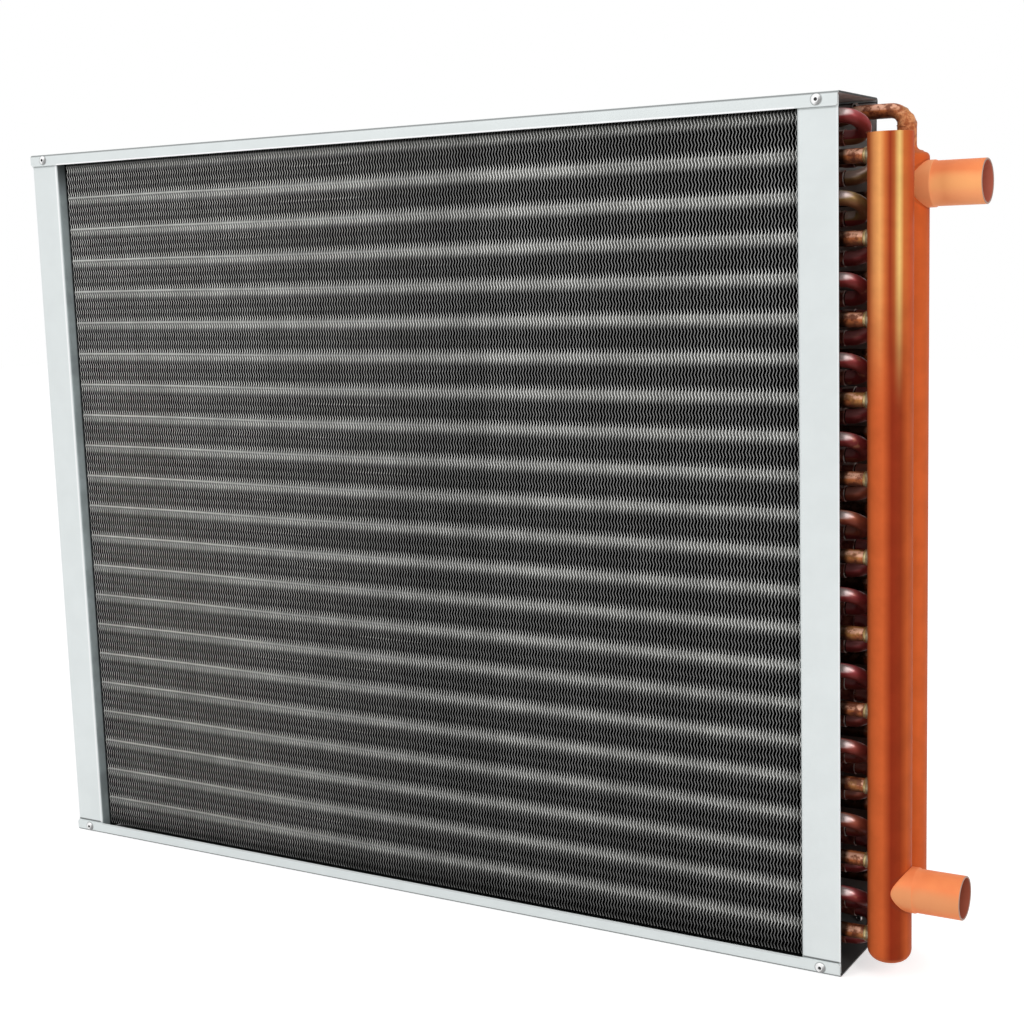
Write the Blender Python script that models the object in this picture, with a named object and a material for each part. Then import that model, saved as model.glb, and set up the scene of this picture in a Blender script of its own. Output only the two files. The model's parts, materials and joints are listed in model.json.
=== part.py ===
"""Water to air heat exchanger: a three-row finned copper coil in a folded steel casing, with two side headers.

Metres, +Z up. The origin is on the underside of the casing, in the middle of its width and depth.
+X points to the headers, -Y is the front face and +Y the rear face.
"""

from math import cos, pi, radians, sin, sqrt

import bmesh
import bpy
from mathutils import Matrix, Vector

# Coil block
FIN_LENGTH = 0.635
TUBE_PITCH = 0.0254
TUBES_HIGH = 22
ROW_PITCH = 0.01905
TUBE_ROWS = 3
TUBE_DIAMETER = 0.009525

# Fins: the block stands for the whole stack, and its ridges for the fins' edges
RIDGE_COUNT = 41
RIDGE_THICKNESS = 0.0076
RIDGE_DEPTH = 0.0032

# Casing
SHEET_THICKNESS = 0.0012
FOLD_RADIUS = 0.0013
CASING_DEPTH = 0.0762
CASING_MARGIN = 0.0076
FLANGE_WIDTH = 0.0275
LIP_HEIGHT = 0.0092

# Tube bends and joints outside the tube sheets
HAIRPIN_STANDOFF = 0.004
CUP_REACH = 0.018
BEND_LEG = 0.0037

# Headers, along Z beside the right tube sheet
HEADER_DIAMETER = 0.028575
HEADER_WALL = 0.0015
FRONT_HEADER_CLEARANCE = 0.0131
REAR_HEADER_CLEARANCE = 0.0113
HEADER_END_RADIUS = 0.008
FRONT_HEADER_BOTTOM = 0.0117
FRONT_HEADER_TOP_DROP = 0.026
REAR_HEADER_BOTTOM = 0.036
REAR_HEADER_TOP_DROP = 0.038
HEADER_PLUG_THICKNESS = 0.0025
STUB_ENTRY = 0.0035

# Neck of the rear header, and the bent feed tube that ends in it
NECK_DIAMETER = 0.0124
NECK_HEIGHT = 0.0188
SHOULDER_HEIGHT = 0.0045
FEED_RISE = 0.0036
FEED_RISE_ANGLE = radians(16)
FEED_RISE_RADIUS = 0.020
FEED_BEND_RADIUS = 0.0105
FEED_ENTRY = 0.012

# Ports, placed from the near end of their header
PORT_DIAMETER = 0.028575
PORT_WALL = 0.0013
PORT_OPENING_DIAMETER = 0.0235
PORT_REACH = 0.0499
UPPER_PORT_DROP = 0.0193
LOWER_PORT_RISE = 0.0502

# Blind rivets
RIVET_DIAMETER = 0.0032
RIVET_HEAD_DIAMETER = 0.0068
RIVET_HEAD_HEIGHT = 0.0013
RIVET_BULB_DIAMETER = 0.0048
RIVET_BULB_LENGTH = 0.0026
RIVET_HOLE_DEPTH = 0.0008
RIVET_HOLE_DIAMETER = 0.0019

# Space left between pieces that fit together
FIT = 0.0003

# Facets
TUBE_SIDES = 8
HEADER_SIDES = 16
RIVET_SIDES = 8
FOLD_STEPS = 3
HAIRPIN_STEPS = 4
RETURN_STEPS = 4
FEED_STEPS = 5
DOME_STEPS = 3
OVERCUT = 0.002

# Sizes that follow from those above
FIN_HEIGHT = TUBES_HIGH * TUBE_PITCH
FIN_DEPTH = TUBE_ROWS * ROW_PITCH
CASING_HEIGHT = FIN_HEIGHT + 2 * CASING_MARGIN
CASING_WIDTH = FIN_LENGTH + 2 * FLANGE_WIDTH
TUBE_RADIUS = TUBE_DIAMETER / 2
WEB_INNER_X = FIN_LENGTH / 2
WEB_OUTER_X = WEB_INNER_X + SHEET_THICKNESS
FLANGE_FACE_Y = CASING_DEPTH / 2 - SHEET_THICKNESS - FIT
FRONT, MIDDLE, REAR = range(TUBE_ROWS)
HEADER_RADIUS = HEADER_DIAMETER / 2
HEADER_X = {
    FRONT: CASING_WIDTH / 2 + FRONT_HEADER_CLEARANCE + HEADER_RADIUS,
    REAR: CASING_WIDTH / 2 + REAR_HEADER_CLEARANCE + HEADER_RADIUS,
}
FRONT_HEADER_TOP = CASING_HEIGHT - FRONT_HEADER_TOP_DROP
REAR_HEADER_TOP = CASING_HEIGHT - REAR_HEADER_TOP_DROP
UPPER_PORT_HEIGHT = REAR_HEADER_TOP - UPPER_PORT_DROP
LOWER_PORT_HEIGHT = FRONT_HEADER_BOTTOM + LOWER_PORT_RISE
PORT_END_X = HEADER_X[FRONT] + PORT_REACH
CUP_END_X = WEB_OUTER_X + CUP_REACH
RETURN_CENTRE_X = CUP_END_X + BEND_LEG
PAIRS = TUBES_HIGH // 2


def row_y(row):
    """Depth of a tube row: the rows lie symmetrically about the middle of the casing."""
    return (row - (TUBE_ROWS - 1) / 2) * ROW_PITCH


def tube_z(row, index):
    """Height of a tube, counted from the top; the middle row is staggered half a pitch down."""
    top = CASING_MARGIN + FIN_HEIGHT - TUBE_PITCH / 4
    stagger = TUBE_PITCH / 2 if row == MIDDLE else 0
    return top - stagger - index * TUBE_PITCH


def stub_end_x(row):
    """Where a straight stub ends, a little inside the wall of its row's header."""
    return HEADER_X[row] - HEADER_RADIUS + STUB_ENTRY


def bore_end_x(row, index):
    """Where the straight part of a tube ends on the header side."""
    to_front_header = row == FRONT and index % 2 == 1
    to_rear_header = row == REAR and index % 2 == 0 and index > 0
    return stub_end_x(row) if to_front_header or to_rear_header else CUP_END_X


def material(name, colour, roughness, metallic):
    made = bpy.data.materials.new(name)
    made.use_nodes = True
    shader = made.node_tree.nodes["Principled BSDF"]
    shader.inputs["Base Color"].default_value = (*colour, 1)
    shader.inputs["Roughness"].default_value = roughness
    shader.inputs["Metallic"].default_value = metallic
    made.diffuse_color = (*colour, 1)
    return made


def add_object(name, bm, finish=None, smooth=False):
    """Puts a finished bmesh into the scene as a named object."""
    bmesh.ops.recalc_face_normals(bm, faces=bm.faces)
    mesh = bpy.data.meshes.new(name)
    bm.to_mesh(mesh)
    bm.free()
    if finish:
        mesh.materials.append(finish)
    if smooth:
        mesh.shade_smooth()
        mesh.set_sharp_from_angle(angle=radians(50))
    obj = bpy.data.objects.new(name, mesh)
    bpy.context.scene.collection.objects.link(obj)
    return obj


def add_cutter(name, bm):
    obj = add_object(name, bm)
    obj.hide_render = True
    obj.display_type = "WIRE"
    return obj


def cut(obj, cutter):
    modifier = obj.modifiers.new(cutter.name, "BOOLEAN")
    modifier.operation = "DIFFERENCE"
    modifier.solver = "EXACT"
    modifier.object = cutter


def polygon(radius, sides):
    """Corners of a regular polygon, the first on the first axis."""
    step = 2 * pi / sides
    return [(radius * cos(i * step), radius * sin(i * step)) for i in range(sides)]


def skin(bm, rings, closed=False):
    """Joins rings of vertices into a surface, and caps its two ends unless it closes on itself."""
    count = len(rings[0])
    pairs = list(zip(rings, rings[1:]))
    if closed:
        pairs.append((rings[-1], rings[0]))
    for first, second in pairs:
        for i in range(count):
            j = (i + 1) % count
            bm.faces.new((first[i], first[j], second[j], second[i]))
    if not closed:
        bm.faces.new(reversed(rings[0]))
        bm.faces.new(rings[-1])


def extruded(outline, place, start, end):
    """A bmesh of a flat outline drawn out from start to end; place(u, v, w) gives a corner its position."""
    bm = bmesh.new()
    rings = [[bm.verts.new(place(u, v, w)) for u, v in outline] for w in (start, end)]
    skin(bm, rings)
    return bm


def turned(profile, sides):
    """A bmesh of a profile of (radius, height) points turned about Z; it starts and ends on the axis."""
    bm = bmesh.new()
    first = bm.verts.new((0, 0, profile[0][1]))
    last = bm.verts.new((0, 0, profile[-1][1]))
    rings = []
    for radius, height in profile[1:-1]:
        rings.append([bm.verts.new((x, y, height)) for x, y in polygon(radius, sides)])
    for ring, next_ring in zip(rings, rings[1:]):
        for i in range(sides):
            j = (i + 1) % sides
            bm.faces.new((ring[i], ring[j], next_ring[j], next_ring[i]))
    for i in range(sides):
        j = (i + 1) % sides
        bm.faces.new((first, rings[0][j], rings[0][i]))
        bm.faces.new((last, rings[-1][i], rings[-1][j]))
    return bm


class TubePath:
    """The centre line of a bent tube, drawn as a tube bender makes it: straight runs and turns."""

    def __init__(self, start, heading):
        heading = Vector(heading)
        side = heading.orthogonal().normalized()
        self.position = Vector(start)
        self.frame = Matrix((heading, side, heading.cross(side))).transposed()
        self.stations = [(self.position.copy(), self.frame.copy())]

    def add_station(self):
        self.stations.append((self.position.copy(), self.frame.copy()))

    def run(self, length):
        self.position = self.position + self.frame.col[0] * length
        self.add_station()

    def run_to_x(self, x):
        self.run(abs(x - self.position.x))

    def turn(self, towards, angle, radius, steps):
        towards = Vector(towards).normalized()
        axis = self.frame.col[0].cross(towards)
        centre = self.position + towards * radius
        arm = self.position - centre
        start_frame = self.frame.copy()
        for i in range(1, steps + 1):
            turn = Matrix.Rotation(angle * i / steps, 3, axis)
            self.position = centre + turn @ arm
            self.frame = turn @ start_frame
            self.add_station()

    def solid(self, radius, sides):
        bm = bmesh.new()
        rings = []
        for position, frame in self.stations:
            corners = [position + frame @ Vector((0, u, v)) for u, v in polygon(radius, sides)]
            rings.append([bm.verts.new(corner) for corner in corners])
        skin(bm, rings)
        return bm


def fold(centre, inner_radius, start_angle, turn):
    """Inner and outer points of a sheet's fold about a centre, in degrees."""
    angles = [radians(start_angle + turn * i / FOLD_STEPS) for i in range(FOLD_STEPS + 1)]
    outer_radius = inner_radius + SHEET_THICKNESS
    inner = [(centre[0] + inner_radius * cos(a), centre[1] + inner_radius * sin(a)) for a in angles]
    outer = [(centre[0] + outer_radius * cos(a), centre[1] + outer_radius * sin(a)) for a in angles]
    return inner, outer


def channel_outline(width, leg):
    """Section of a folded channel: the web lies along u at v = 0, and both legs rise to v = leg."""
    outer_radius = FOLD_RADIUS + SHEET_THICKNESS
    right_centre = (width / 2 - outer_radius, outer_radius)
    inner, outer = fold(right_centre, FOLD_RADIUS, -90, 90)
    outside = outer + [(width / 2, leg)]
    inside = inner + [(width / 2 - SHEET_THICKNESS, leg)]
    right = outside + inside[::-1]
    left = [(-u, v) for u, v in right]
    return right + left[::-1]


def tube_bores():
    """One cutter for every tube: its bores run through both tube sheets and the fins, and on into the headers."""
    bm = bmesh.new()
    corners = polygon(TUBE_RADIUS + FIT, TUBE_SIDES)
    start = -WEB_OUTER_X - HAIRPIN_STANDOFF
    beside_fins = WEB_INNER_X - FIT / 2
    for row in range(TUBE_ROWS):
        for index in range(TUBES_HIGH):
            y, z = row_y(row), tube_z(row, index)
            stations = (start, -beside_fins, beside_fins, bore_end_x(row, index))
            rings = [[bm.verts.new((x, y + v, z + w)) for v, w in corners] for x in stations]
            skin(bm, rings)
    return add_cutter("tube_bores", bm)


def rivet_places():
    """Middles of the four corners where a lip crosses a flange, as (x, z)."""
    x = CASING_WIDTH / 2 - FLANGE_WIDTH / 2
    z = LIP_HEIGHT / 2
    return [(sx * x, height) for sx in (-1, 1) for height in (z, CASING_HEIGHT - z)]


def rivet_bores():
    bm = bmesh.new()
    corners = polygon(RIVET_DIAMETER / 2 + FIT, RIVET_SIDES)
    reach = CASING_DEPTH / 2 + OVERCUT
    for x, z in rivet_places():
        rings = [[bm.verts.new((x + u, y, z + v)) for u, v in corners] for y in (-reach, reach)]
        skin(bm, rings)
    return add_cutter("rivet_bores", bm)


def add_casing(finish, bores, rivets):
    """Two channel plates over and under, and two channel tube sheets whose flanges turn outwards."""
    lips = channel_outline(CASING_DEPTH, LIP_HEIGHT)
    plates = {
        "bottom_plate": lambda y, v, x: (x, y, v),
        "top_plate": lambda y, v, x: (x, y, CASING_HEIGHT - v),
    }
    for name, place in plates.items():
        bm = extruded(lips, place, -CASING_WIDTH / 2, CASING_WIDTH / 2)
        cut(add_object(name, bm, finish, smooth=True), rivets)

    flanges = channel_outline(2 * FLANGE_FACE_Y, FLANGE_WIDTH)
    foot = SHEET_THICKNESS + FOLD_RADIUS
    sheets = {
        "left_tube_sheet": lambda y, v, z: (-WEB_INNER_X - v, y, z),
        "right_tube_sheet": lambda y, v, z: (WEB_INNER_X + v, y, z),
    }
    for name, place in sheets.items():
        bm = extruded(flanges, place, foot, CASING_HEIGHT - foot)
        sheet = add_object(name, bm, finish, smooth=True)
        cut(sheet, bores)
        cut(sheet, rivets)


def comb_outline():
    """Plan of the fin stack: a core with a row of ridges along its front and its rear."""
    half_length = FIN_LENGTH / 2 - FIT
    pitch = (2 * half_length - RIDGE_THICKNESS) / (RIDGE_COUNT - 1)
    front, core = -FIN_DEPTH / 2, -FIN_DEPTH / 2 + RIDGE_DEPTH
    points = []
    for i in range(RIDGE_COUNT):
        left = -half_length + i * pitch
        right = left + RIDGE_THICKNESS
        points += [(left, core), (left, front), (right, front), (right, core)]
    points = points[1:-1]
    return points + [(x, -y) for x, y in reversed(points)]


def add_fins(finish, bores):
    bm = extruded(comb_outline(), lambda x, y, z: (x, y, z), CASING_MARGIN, CASING_MARGIN + FIN_HEIGHT)
    cut(add_object("fin_pack", bm, finish), bores)


def diagonal(direction):
    """Step from one tube row to the next behind it, and half a pitch up or down."""
    return Vector((0, ROW_PITCH, direction * TUBE_PITCH / 2))


def add_return_bend(path, direction):
    """Carries a leg on round its return bend, to just short of the cup of the next row's leg."""
    path.run_to_x(RETURN_CENTRE_X)
    step = diagonal(direction)
    path.turn(step, pi, step.length / 2, RETURN_STEPS)
    path.run_to_x(CUP_END_X + FIT)


def front_hairpin(pair):
    """From the front header, round the left end, and by a return bend to the middle row."""
    lower = 2 * pair + 1
    path = TubePath((stub_end_x(FRONT), row_y(FRONT), tube_z(FRONT, lower)), (-1, 0, 0))
    path.run_to_x(-WEB_OUTER_X - HAIRPIN_STANDOFF)
    path.turn((0, 0, 1), pi, TUBE_PITCH / 2, HAIRPIN_STEPS)
    add_return_bend(path, -1)
    return path


def middle_hairpin(pair):
    """From the cup that takes the front row's return bend, and by another to the rear row."""
    upper = 2 * pair
    path = TubePath((CUP_END_X, row_y(MIDDLE), tube_z(MIDDLE, upper)), (-1, 0, 0))
    path.run_to_x(-WEB_OUTER_X - HAIRPIN_STANDOFF)
    path.turn((0, 0, -1), pi, TUBE_PITCH / 2, HAIRPIN_STEPS)
    add_return_bend(path, 1)
    return path


def rear_hairpin(pair):
    """From the cup that takes the middle row's return bend to the rear header, or to the feed tube."""
    lower = 2 * pair + 1
    path = TubePath((CUP_END_X, row_y(REAR), tube_z(REAR, lower)), (-1, 0, 0))
    path.run_to_x(-WEB_OUTER_X - HAIRPIN_STANDOFF)
    path.turn((0, 0, 1), pi, TUBE_PITCH / 2, HAIRPIN_STEPS)
    path.run_to_x(bore_end_x(REAR, 2 * pair))
    return path


def add_hairpins(finish):
    for pair in range(PAIRS):
        paths = {"front": front_hairpin(pair), "middle": middle_hairpin(pair), "rear": rear_hairpin(pair)}
        for row, path in paths.items():
            add_object(f"hairpin_{row}_{pair + 1:02d}", path.solid(TUBE_RADIUS, TUBE_SIDES), finish, smooth=True)


def add_feed_tube(finish):
    """From the top leg of the rear row, a little up and then over into the neck of the rear header."""
    start = Vector((CUP_END_X + FIT, row_y(REAR), tube_z(REAR, 0)))
    path = TubePath(start, (1, 0, 0))
    slope_rise = FEED_RISE - 2 * FEED_RISE_RADIUS * (1 - cos(FEED_RISE_ANGLE))
    path.turn((0, 0, 1), FEED_RISE_ANGLE, FEED_RISE_RADIUS, 1)
    path.run(slope_rise / sin(FEED_RISE_ANGLE))
    down = Vector((sin(FEED_RISE_ANGLE), 0, -cos(FEED_RISE_ANGLE)))
    path.turn(down, FEED_RISE_ANGLE, FEED_RISE_RADIUS, 1)
    path.run_to_x(HEADER_X[REAR] - FEED_BEND_RADIUS)
    path.turn((0, 0, -1), pi / 2, FEED_BEND_RADIUS, FEED_STEPS)
    neck_top = REAR_HEADER_TOP + NECK_HEIGHT
    path.run(path.position.z - neck_top + FEED_ENTRY)
    add_object("feed_tube", path.solid(TUBE_RADIUS, TUBE_SIDES), finish, smooth=True)


def dome(radius, bottom, corner):
    """Profile of a closed end, from the axis round to the straight wall."""
    points = [(0, bottom)]
    for i in range(DOME_STEPS + 1):
        angle = radians(90 * i / DOME_STEPS)
        points.append((radius - corner + corner * sin(angle), bottom + corner * (1 - cos(angle))))
    return points


def header_shell(bottom):
    """Outer and inner profile of a header's closed lower end."""
    outside = dome(HEADER_RADIUS, bottom, HEADER_END_RADIUS)
    inside = dome(HEADER_RADIUS - HEADER_WALL, bottom + HEADER_WALL, HEADER_END_RADIUS - HEADER_WALL)
    return outside, inside


def front_header_profile():
    outside, inside = header_shell(FRONT_HEADER_BOTTOM)
    rim = [(HEADER_RADIUS, FRONT_HEADER_TOP), (HEADER_RADIUS - HEADER_WALL, FRONT_HEADER_TOP)]
    return outside + rim + inside[::-1]


def rear_header_profile():
    """The rear header is drawn in at its top to a shoulder and a neck."""
    outside, inside = header_shell(REAR_HEADER_BOTTOM)
    neck, bore = NECK_DIAMETER / 2, TUBE_RADIUS + FIT
    shoulder, top = REAR_HEADER_TOP + SHOULDER_HEIGHT, REAR_HEADER_TOP + NECK_HEIGHT
    wall = (neck - bore) + SHEET_THICKNESS
    rim = [
        (HEADER_RADIUS, REAR_HEADER_TOP),
        (neck, shoulder),
        (neck, top),
        (bore, top),
        (bore, shoulder - wall),
        (HEADER_RADIUS - HEADER_WALL, REAR_HEADER_TOP - HEADER_WALL),
    ]
    return outside + rim + inside[::-1]


def port_bore(name, row, height):
    """Cutter for the hole where a port opens into its header."""
    bm = bmesh.new()
    corners = polygon(PORT_OPENING_DIAMETER / 2, HEADER_SIDES)
    ends = (HEADER_X[row], HEADER_X[row] + HEADER_RADIUS + OVERCUT)
    rings = [[bm.verts.new((x, row_y(row) + u, height + v)) for u, v in corners] for x in ends]
    skin(bm, rings)
    return add_cutter(name, bm)


def add_header(name, profile, row, finish, cutters):
    bm = turned(profile, HEADER_SIDES)
    bmesh.ops.translate(bm, verts=bm.verts, vec=(HEADER_X[row], row_y(row), 0))
    header = add_object(name, bm, finish, smooth=True)
    for cutter in cutters:
        cut(header, cutter)


def add_header_plug(finish):
    """Disc that closes the top of the front header, flush with its rim."""
    radius = HEADER_RADIUS - HEADER_WALL - FIT
    profile = [
        (0, FRONT_HEADER_TOP - HEADER_PLUG_THICKNESS),
        (radius, FRONT_HEADER_TOP - HEADER_PLUG_THICKNESS),
        (radius, FRONT_HEADER_TOP),
        (0, FRONT_HEADER_TOP),
    ]
    bm = turned(profile, HEADER_SIDES)
    bmesh.ops.translate(bm, verts=bm.verts, vec=(HEADER_X[FRONT], row_y(FRONT), 0))
    add_object("front_header_plug", bm, finish, smooth=True)


def add_port(name, row, height, finish):
    """An open tube whose inner end is coped to sit on the side of its header."""
    bm = bmesh.new()
    seat = HEADER_RADIUS + FIT
    rings = []
    outer, inner = PORT_DIAMETER / 2, PORT_DIAMETER / 2 - PORT_WALL
    for radius, at_end in ((outer, False), (outer, True), (inner, True), (inner, False)):
        ring = []
        for y, z in polygon(radius, HEADER_SIDES):
            x = PORT_END_X if at_end else HEADER_X[row] + sqrt(seat**2 - y**2)
            ring.append(bm.verts.new((x, row_y(row) + y, height + z)))
        rings.append(ring)
    skin(bm, rings, closed=True)
    add_object(name, bm, finish, smooth=True)


def rivet_profile():
    """A set blind rivet along +Z, with the face of the lip at zero: bulb, shank, and a head with its stem hole."""
    stack = 2 * SHEET_THICKNESS + FIT
    shank, bulb = RIVET_DIAMETER / 2, RIVET_BULB_DIAMETER / 2
    head, hole = RIVET_HEAD_DIAMETER / 2, RIVET_HOLE_DIAMETER / 2
    bulb_top = -stack - FIT
    head_top = FIT + RIVET_HEAD_HEIGHT
    return [
        (0, bulb_top - RIVET_BULB_LENGTH),
        (bulb, bulb_top - RIVET_BULB_LENGTH / 2),
        (shank, bulb_top),
        (shank, FIT),
        (head, FIT),
        ((head + hole) / 2, head_top - RIVET_HEAD_HEIGHT / 4),
        (hole, head_top),
        (0, head_top - RIVET_HOLE_DEPTH),
    ]


def add_rivets(finish):
    faces = {"front": (pi / 2, -CASING_DEPTH / 2), "rear": (-pi / 2, CASING_DEPTH / 2)}
    for face, (tilt, y) in faces.items():
        for number, (x, z) in enumerate(rivet_places(), 1):
            bm = turned(rivet_profile(), RIVET_SIDES)
            rivet = add_object(f"rivet_{face}_{number}", bm, finish, smooth=True)
            rivet.rotation_euler = (tilt, 0, 0)
            rivet.location = (x, y, z)


def main():
    for obj in list(bpy.data.objects):
        bpy.data.objects.remove(obj)

    galvanised = material("galvanised_steel", (0.72, 0.76, 0.76), 0.45, 0.6)
    aluminium = material("aluminium_fins", (0.30, 0.30, 0.30), 0.4, 0.9)
    tube_copper = material("tube_copper", (0.42, 0.14, 0.10), 0.3, 0.95)
    header_copper = material("header_copper", (0.70, 0.22, 0.08), 0.35, 0.9)
    port_copper = material("port_copper", (0.85, 0.38, 0.20), 0.4, 0.85)
    rivet_metal = material("rivet_aluminium", (0.85, 0.86, 0.86), 0.3, 0.9)

    bores = tube_bores()
    rivets = rivet_bores()
    add_casing(galvanised, bores, rivets)
    add_fins(aluminium, bores)
    add_hairpins(tube_copper)
    add_feed_tube(tube_copper)

    lower_bore = port_bore("lower_port_bore", FRONT, LOWER_PORT_HEIGHT)
    upper_bore = port_bore("upper_port_bore", REAR, UPPER_PORT_HEIGHT)
    add_header("front_header", front_header_profile(), FRONT, header_copper, (bores, lower_bore))
    add_header("rear_header", rear_header_profile(), REAR, header_copper, (bores, upper_bore))
    add_header_plug(header_copper)
    add_port("lower_port", FRONT, LOWER_PORT_HEIGHT, port_copper)
    add_port("upper_port", REAR, UPPER_PORT_HEIGHT, port_copper)
    add_rivets(rivet_metal)


main()
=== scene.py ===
"""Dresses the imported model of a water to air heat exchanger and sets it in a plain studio."""

import json
from math import cos, pi, radians, sin, sqrt

import bmesh
import bpy
from bpy.props import FloatProperty, FloatVectorProperty, IntProperty, PointerProperty
from bpy.types import NodeSocket, Operator, Panel, PropertyGroup
from mathutils import Matrix, Vector

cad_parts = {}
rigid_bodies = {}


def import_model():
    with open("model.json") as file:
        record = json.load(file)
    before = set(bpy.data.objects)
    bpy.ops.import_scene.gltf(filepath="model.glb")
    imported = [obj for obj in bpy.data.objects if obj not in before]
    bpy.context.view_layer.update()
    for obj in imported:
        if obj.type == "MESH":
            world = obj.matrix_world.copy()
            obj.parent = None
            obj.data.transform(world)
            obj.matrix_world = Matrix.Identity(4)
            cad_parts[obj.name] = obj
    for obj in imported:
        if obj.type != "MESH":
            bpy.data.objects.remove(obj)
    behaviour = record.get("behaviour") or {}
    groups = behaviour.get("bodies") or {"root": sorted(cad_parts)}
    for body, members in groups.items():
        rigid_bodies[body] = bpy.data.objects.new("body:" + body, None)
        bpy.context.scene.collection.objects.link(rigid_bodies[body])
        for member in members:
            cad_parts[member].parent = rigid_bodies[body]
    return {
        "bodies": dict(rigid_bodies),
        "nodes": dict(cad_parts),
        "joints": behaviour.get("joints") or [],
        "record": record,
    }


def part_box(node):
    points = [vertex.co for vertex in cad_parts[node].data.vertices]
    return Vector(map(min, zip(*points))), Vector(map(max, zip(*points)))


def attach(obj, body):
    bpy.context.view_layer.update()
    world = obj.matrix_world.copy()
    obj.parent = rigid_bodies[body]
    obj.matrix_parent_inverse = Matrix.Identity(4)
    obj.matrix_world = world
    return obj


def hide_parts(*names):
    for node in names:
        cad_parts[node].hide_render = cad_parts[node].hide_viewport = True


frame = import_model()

bl_info = {
    "name": "Heat Exchanger Coil",
    "version": (1, 0, 0),
    "blender": (4, 5, 0),
    "location": "View3D > Sidebar > Coil",
    "description": "Builds the casing, fins, tubes and headers of a water to air heat exchanger",
    "category": "Object",
}

MM = 0.001
BODY = "root"

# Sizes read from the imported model
HALF_WIDTH, HALF_DEPTH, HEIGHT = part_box("top_plate")[1]
LIP_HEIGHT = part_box("bottom_plate")[1].z
WEB_INNER_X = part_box("right_tube_sheet")[0].x
FLANGE_FACE_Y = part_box("right_tube_sheet")[1].y
SHEET_END_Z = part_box("right_tube_sheet")[0].z
FINS_LOW, FINS_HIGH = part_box("fin_pack")
ROWS = ("front", "middle", "rear")
FRONT, MIDDLE, REAR = range(3)
HEADER_LOW = {FRONT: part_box("front_header")[0], REAR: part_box("rear_header")[0]}
HEADER_HIGH = {FRONT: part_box("front_header")[1], REAR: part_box("rear_header")[1]}
HEADER_X = {row: (HEADER_LOW[row].x + HEADER_HIGH[row].x) / 2 for row in (FRONT, REAR)}
HEADER_RADIUS = (HEADER_HIGH[FRONT].x - HEADER_LOW[FRONT].x) / 2
PORT_END_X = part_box("lower_port")[1].x
PORT_RADIUS = (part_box("lower_port")[1].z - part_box("lower_port")[0].z) / 2
PORT_Z = {
    FRONT: (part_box("lower_port")[0].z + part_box("lower_port")[1].z) / 2,
    REAR: (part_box("upper_port")[0].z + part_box("upper_port")[1].z) / 2,
}

# Layout of the coil
TUBE_PITCH = 25.4 * MM
ROW_PITCH = 19.05 * MM
TUBES_HIGH = 22
PAIRS = TUBES_HIGH // 2
EVERY_TUBE = [(row, index) for row in range(3) for index in range(TUBES_HIGH)]
TOP_TUBE_Z = FINS_HIGH.z - TUBE_PITCH / 4
SHEET = 1.2 * MM
FOLD = 1.3 * MM
WEB_OUTER_X = WEB_INNER_X + SHEET
CUP_END_X = WEB_OUTER_X + 18 * MM
RETURN_CENTRE_X = CUP_END_X + 3.7 * MM
HAIRPIN_START_X = WEB_OUTER_X + 4 * MM
STUB_ENTRY = 3.5 * MM
NECK_TOP_Z = HEADER_HIGH[REAR].z
REAR_SHOULDER_Z = NECK_TOP_Z - 18.8 * MM
FEED_BEND = 10.5 * MM
FLARE_LENGTH = 4.4 * MM
FLARE_STEP = 0.5 * MM
HEATED_BEND = 10
FIN_PACKET = 83 * MM
CORNER_STEPS = 6


def length_property(name, description, default):
    return FloatProperty(name=name, description=description, default=default, unit="LENGTH")


def angle_property(name, description, degrees):
    return FloatProperty(name=name, description=description, default=radians(degrees), subtype="ANGLE")


def colour_property(name, description, default):
    return FloatVectorProperty(name=name, description=description, default=default, subtype="COLOR", size=3)


class CasingSettings(PropertyGroup):
    """Folded steel plates and tube sheets."""

    fold_steps: IntProperty(name="Fold Steps", description="Facets in each fold", default=7, min=2)
    corner_radius: length_property("Corner Radius", "Rounded corners of the lips", 2.0 * MM)
    steel: colour_property("Steel", "Colour of the outer faces", (0.715, 0.757, 0.757))
    # The bright edge colour paints highlights on folds and edges.
    steel_highlight: colour_property("Bright Edge", "Colour of painted highlights on folds and edges", (0.97, 0.97, 0.98))
    # The inside colour is painted shade on the faces inside the casing.
    steel_shade: colour_property("Inside", "Colour of the faces inside the casing", (0.40, 0.455, 0.46))


class FinSettings(PropertyGroup):
    """Stack of corrugated fins."""

    pitch: length_property("Pitch", "Distance between fins", 2.4 * MM)
    thickness: length_property("Thickness", "Metal of a fin", 0.38 * MM)
    wave: length_property("Wave", "Half height of the waves", 0.58 * MM)
    foot_drop: length_property("Foot Drop", "How far the waves start below the stack's foot", 0.1 * MM)
    waves_per_tube: IntProperty(name="Waves", description="Waves in one tube pitch", default=4, min=1)
    unevenness: length_property("Unevenness", "How far a fin stands off its place", 0.07 * MM)
    seed: IntProperty(name="Seed", description="Seed of the unevenness", default=7)
    end_gap: length_property("End Gap", "Free space beside the outermost fins", 1.8 * MM)
    collar_radius: length_property("Collar Radius", "Outside of the fins' collars round the tubes", 5.05 * MM)
    edge: colour_property("Edge", "Colour of the fins' edges", (0.78, 0.78, 0.77))


class TubeSettings(PropertyGroup):
    """Hairpins, return bends and their joints."""

    radius: length_property("Radius", "Outside radius", 4.7625 * MM)
    sides: IntProperty(name="Sides", description="Facets round a tube", default=24, min=8)
    bend_steps: IntProperty(name="Bend Steps", description="Facets along a bend", default=14, min=4)
    cup_radius: length_property("Cup Radius", "Outside of the belled ends", 5.35 * MM)
    cup_length: length_property("Cup Length", "Length of the belled ends", 8.5 * MM)
    copper: colour_property("Bend Copper", "Colour of the return bends", (0.27, 0.035, 0.036))
    stub_copper: colour_property("Stub Copper", "Colour of the straight stubs", (0.54, 0.165, 0.055))


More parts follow.
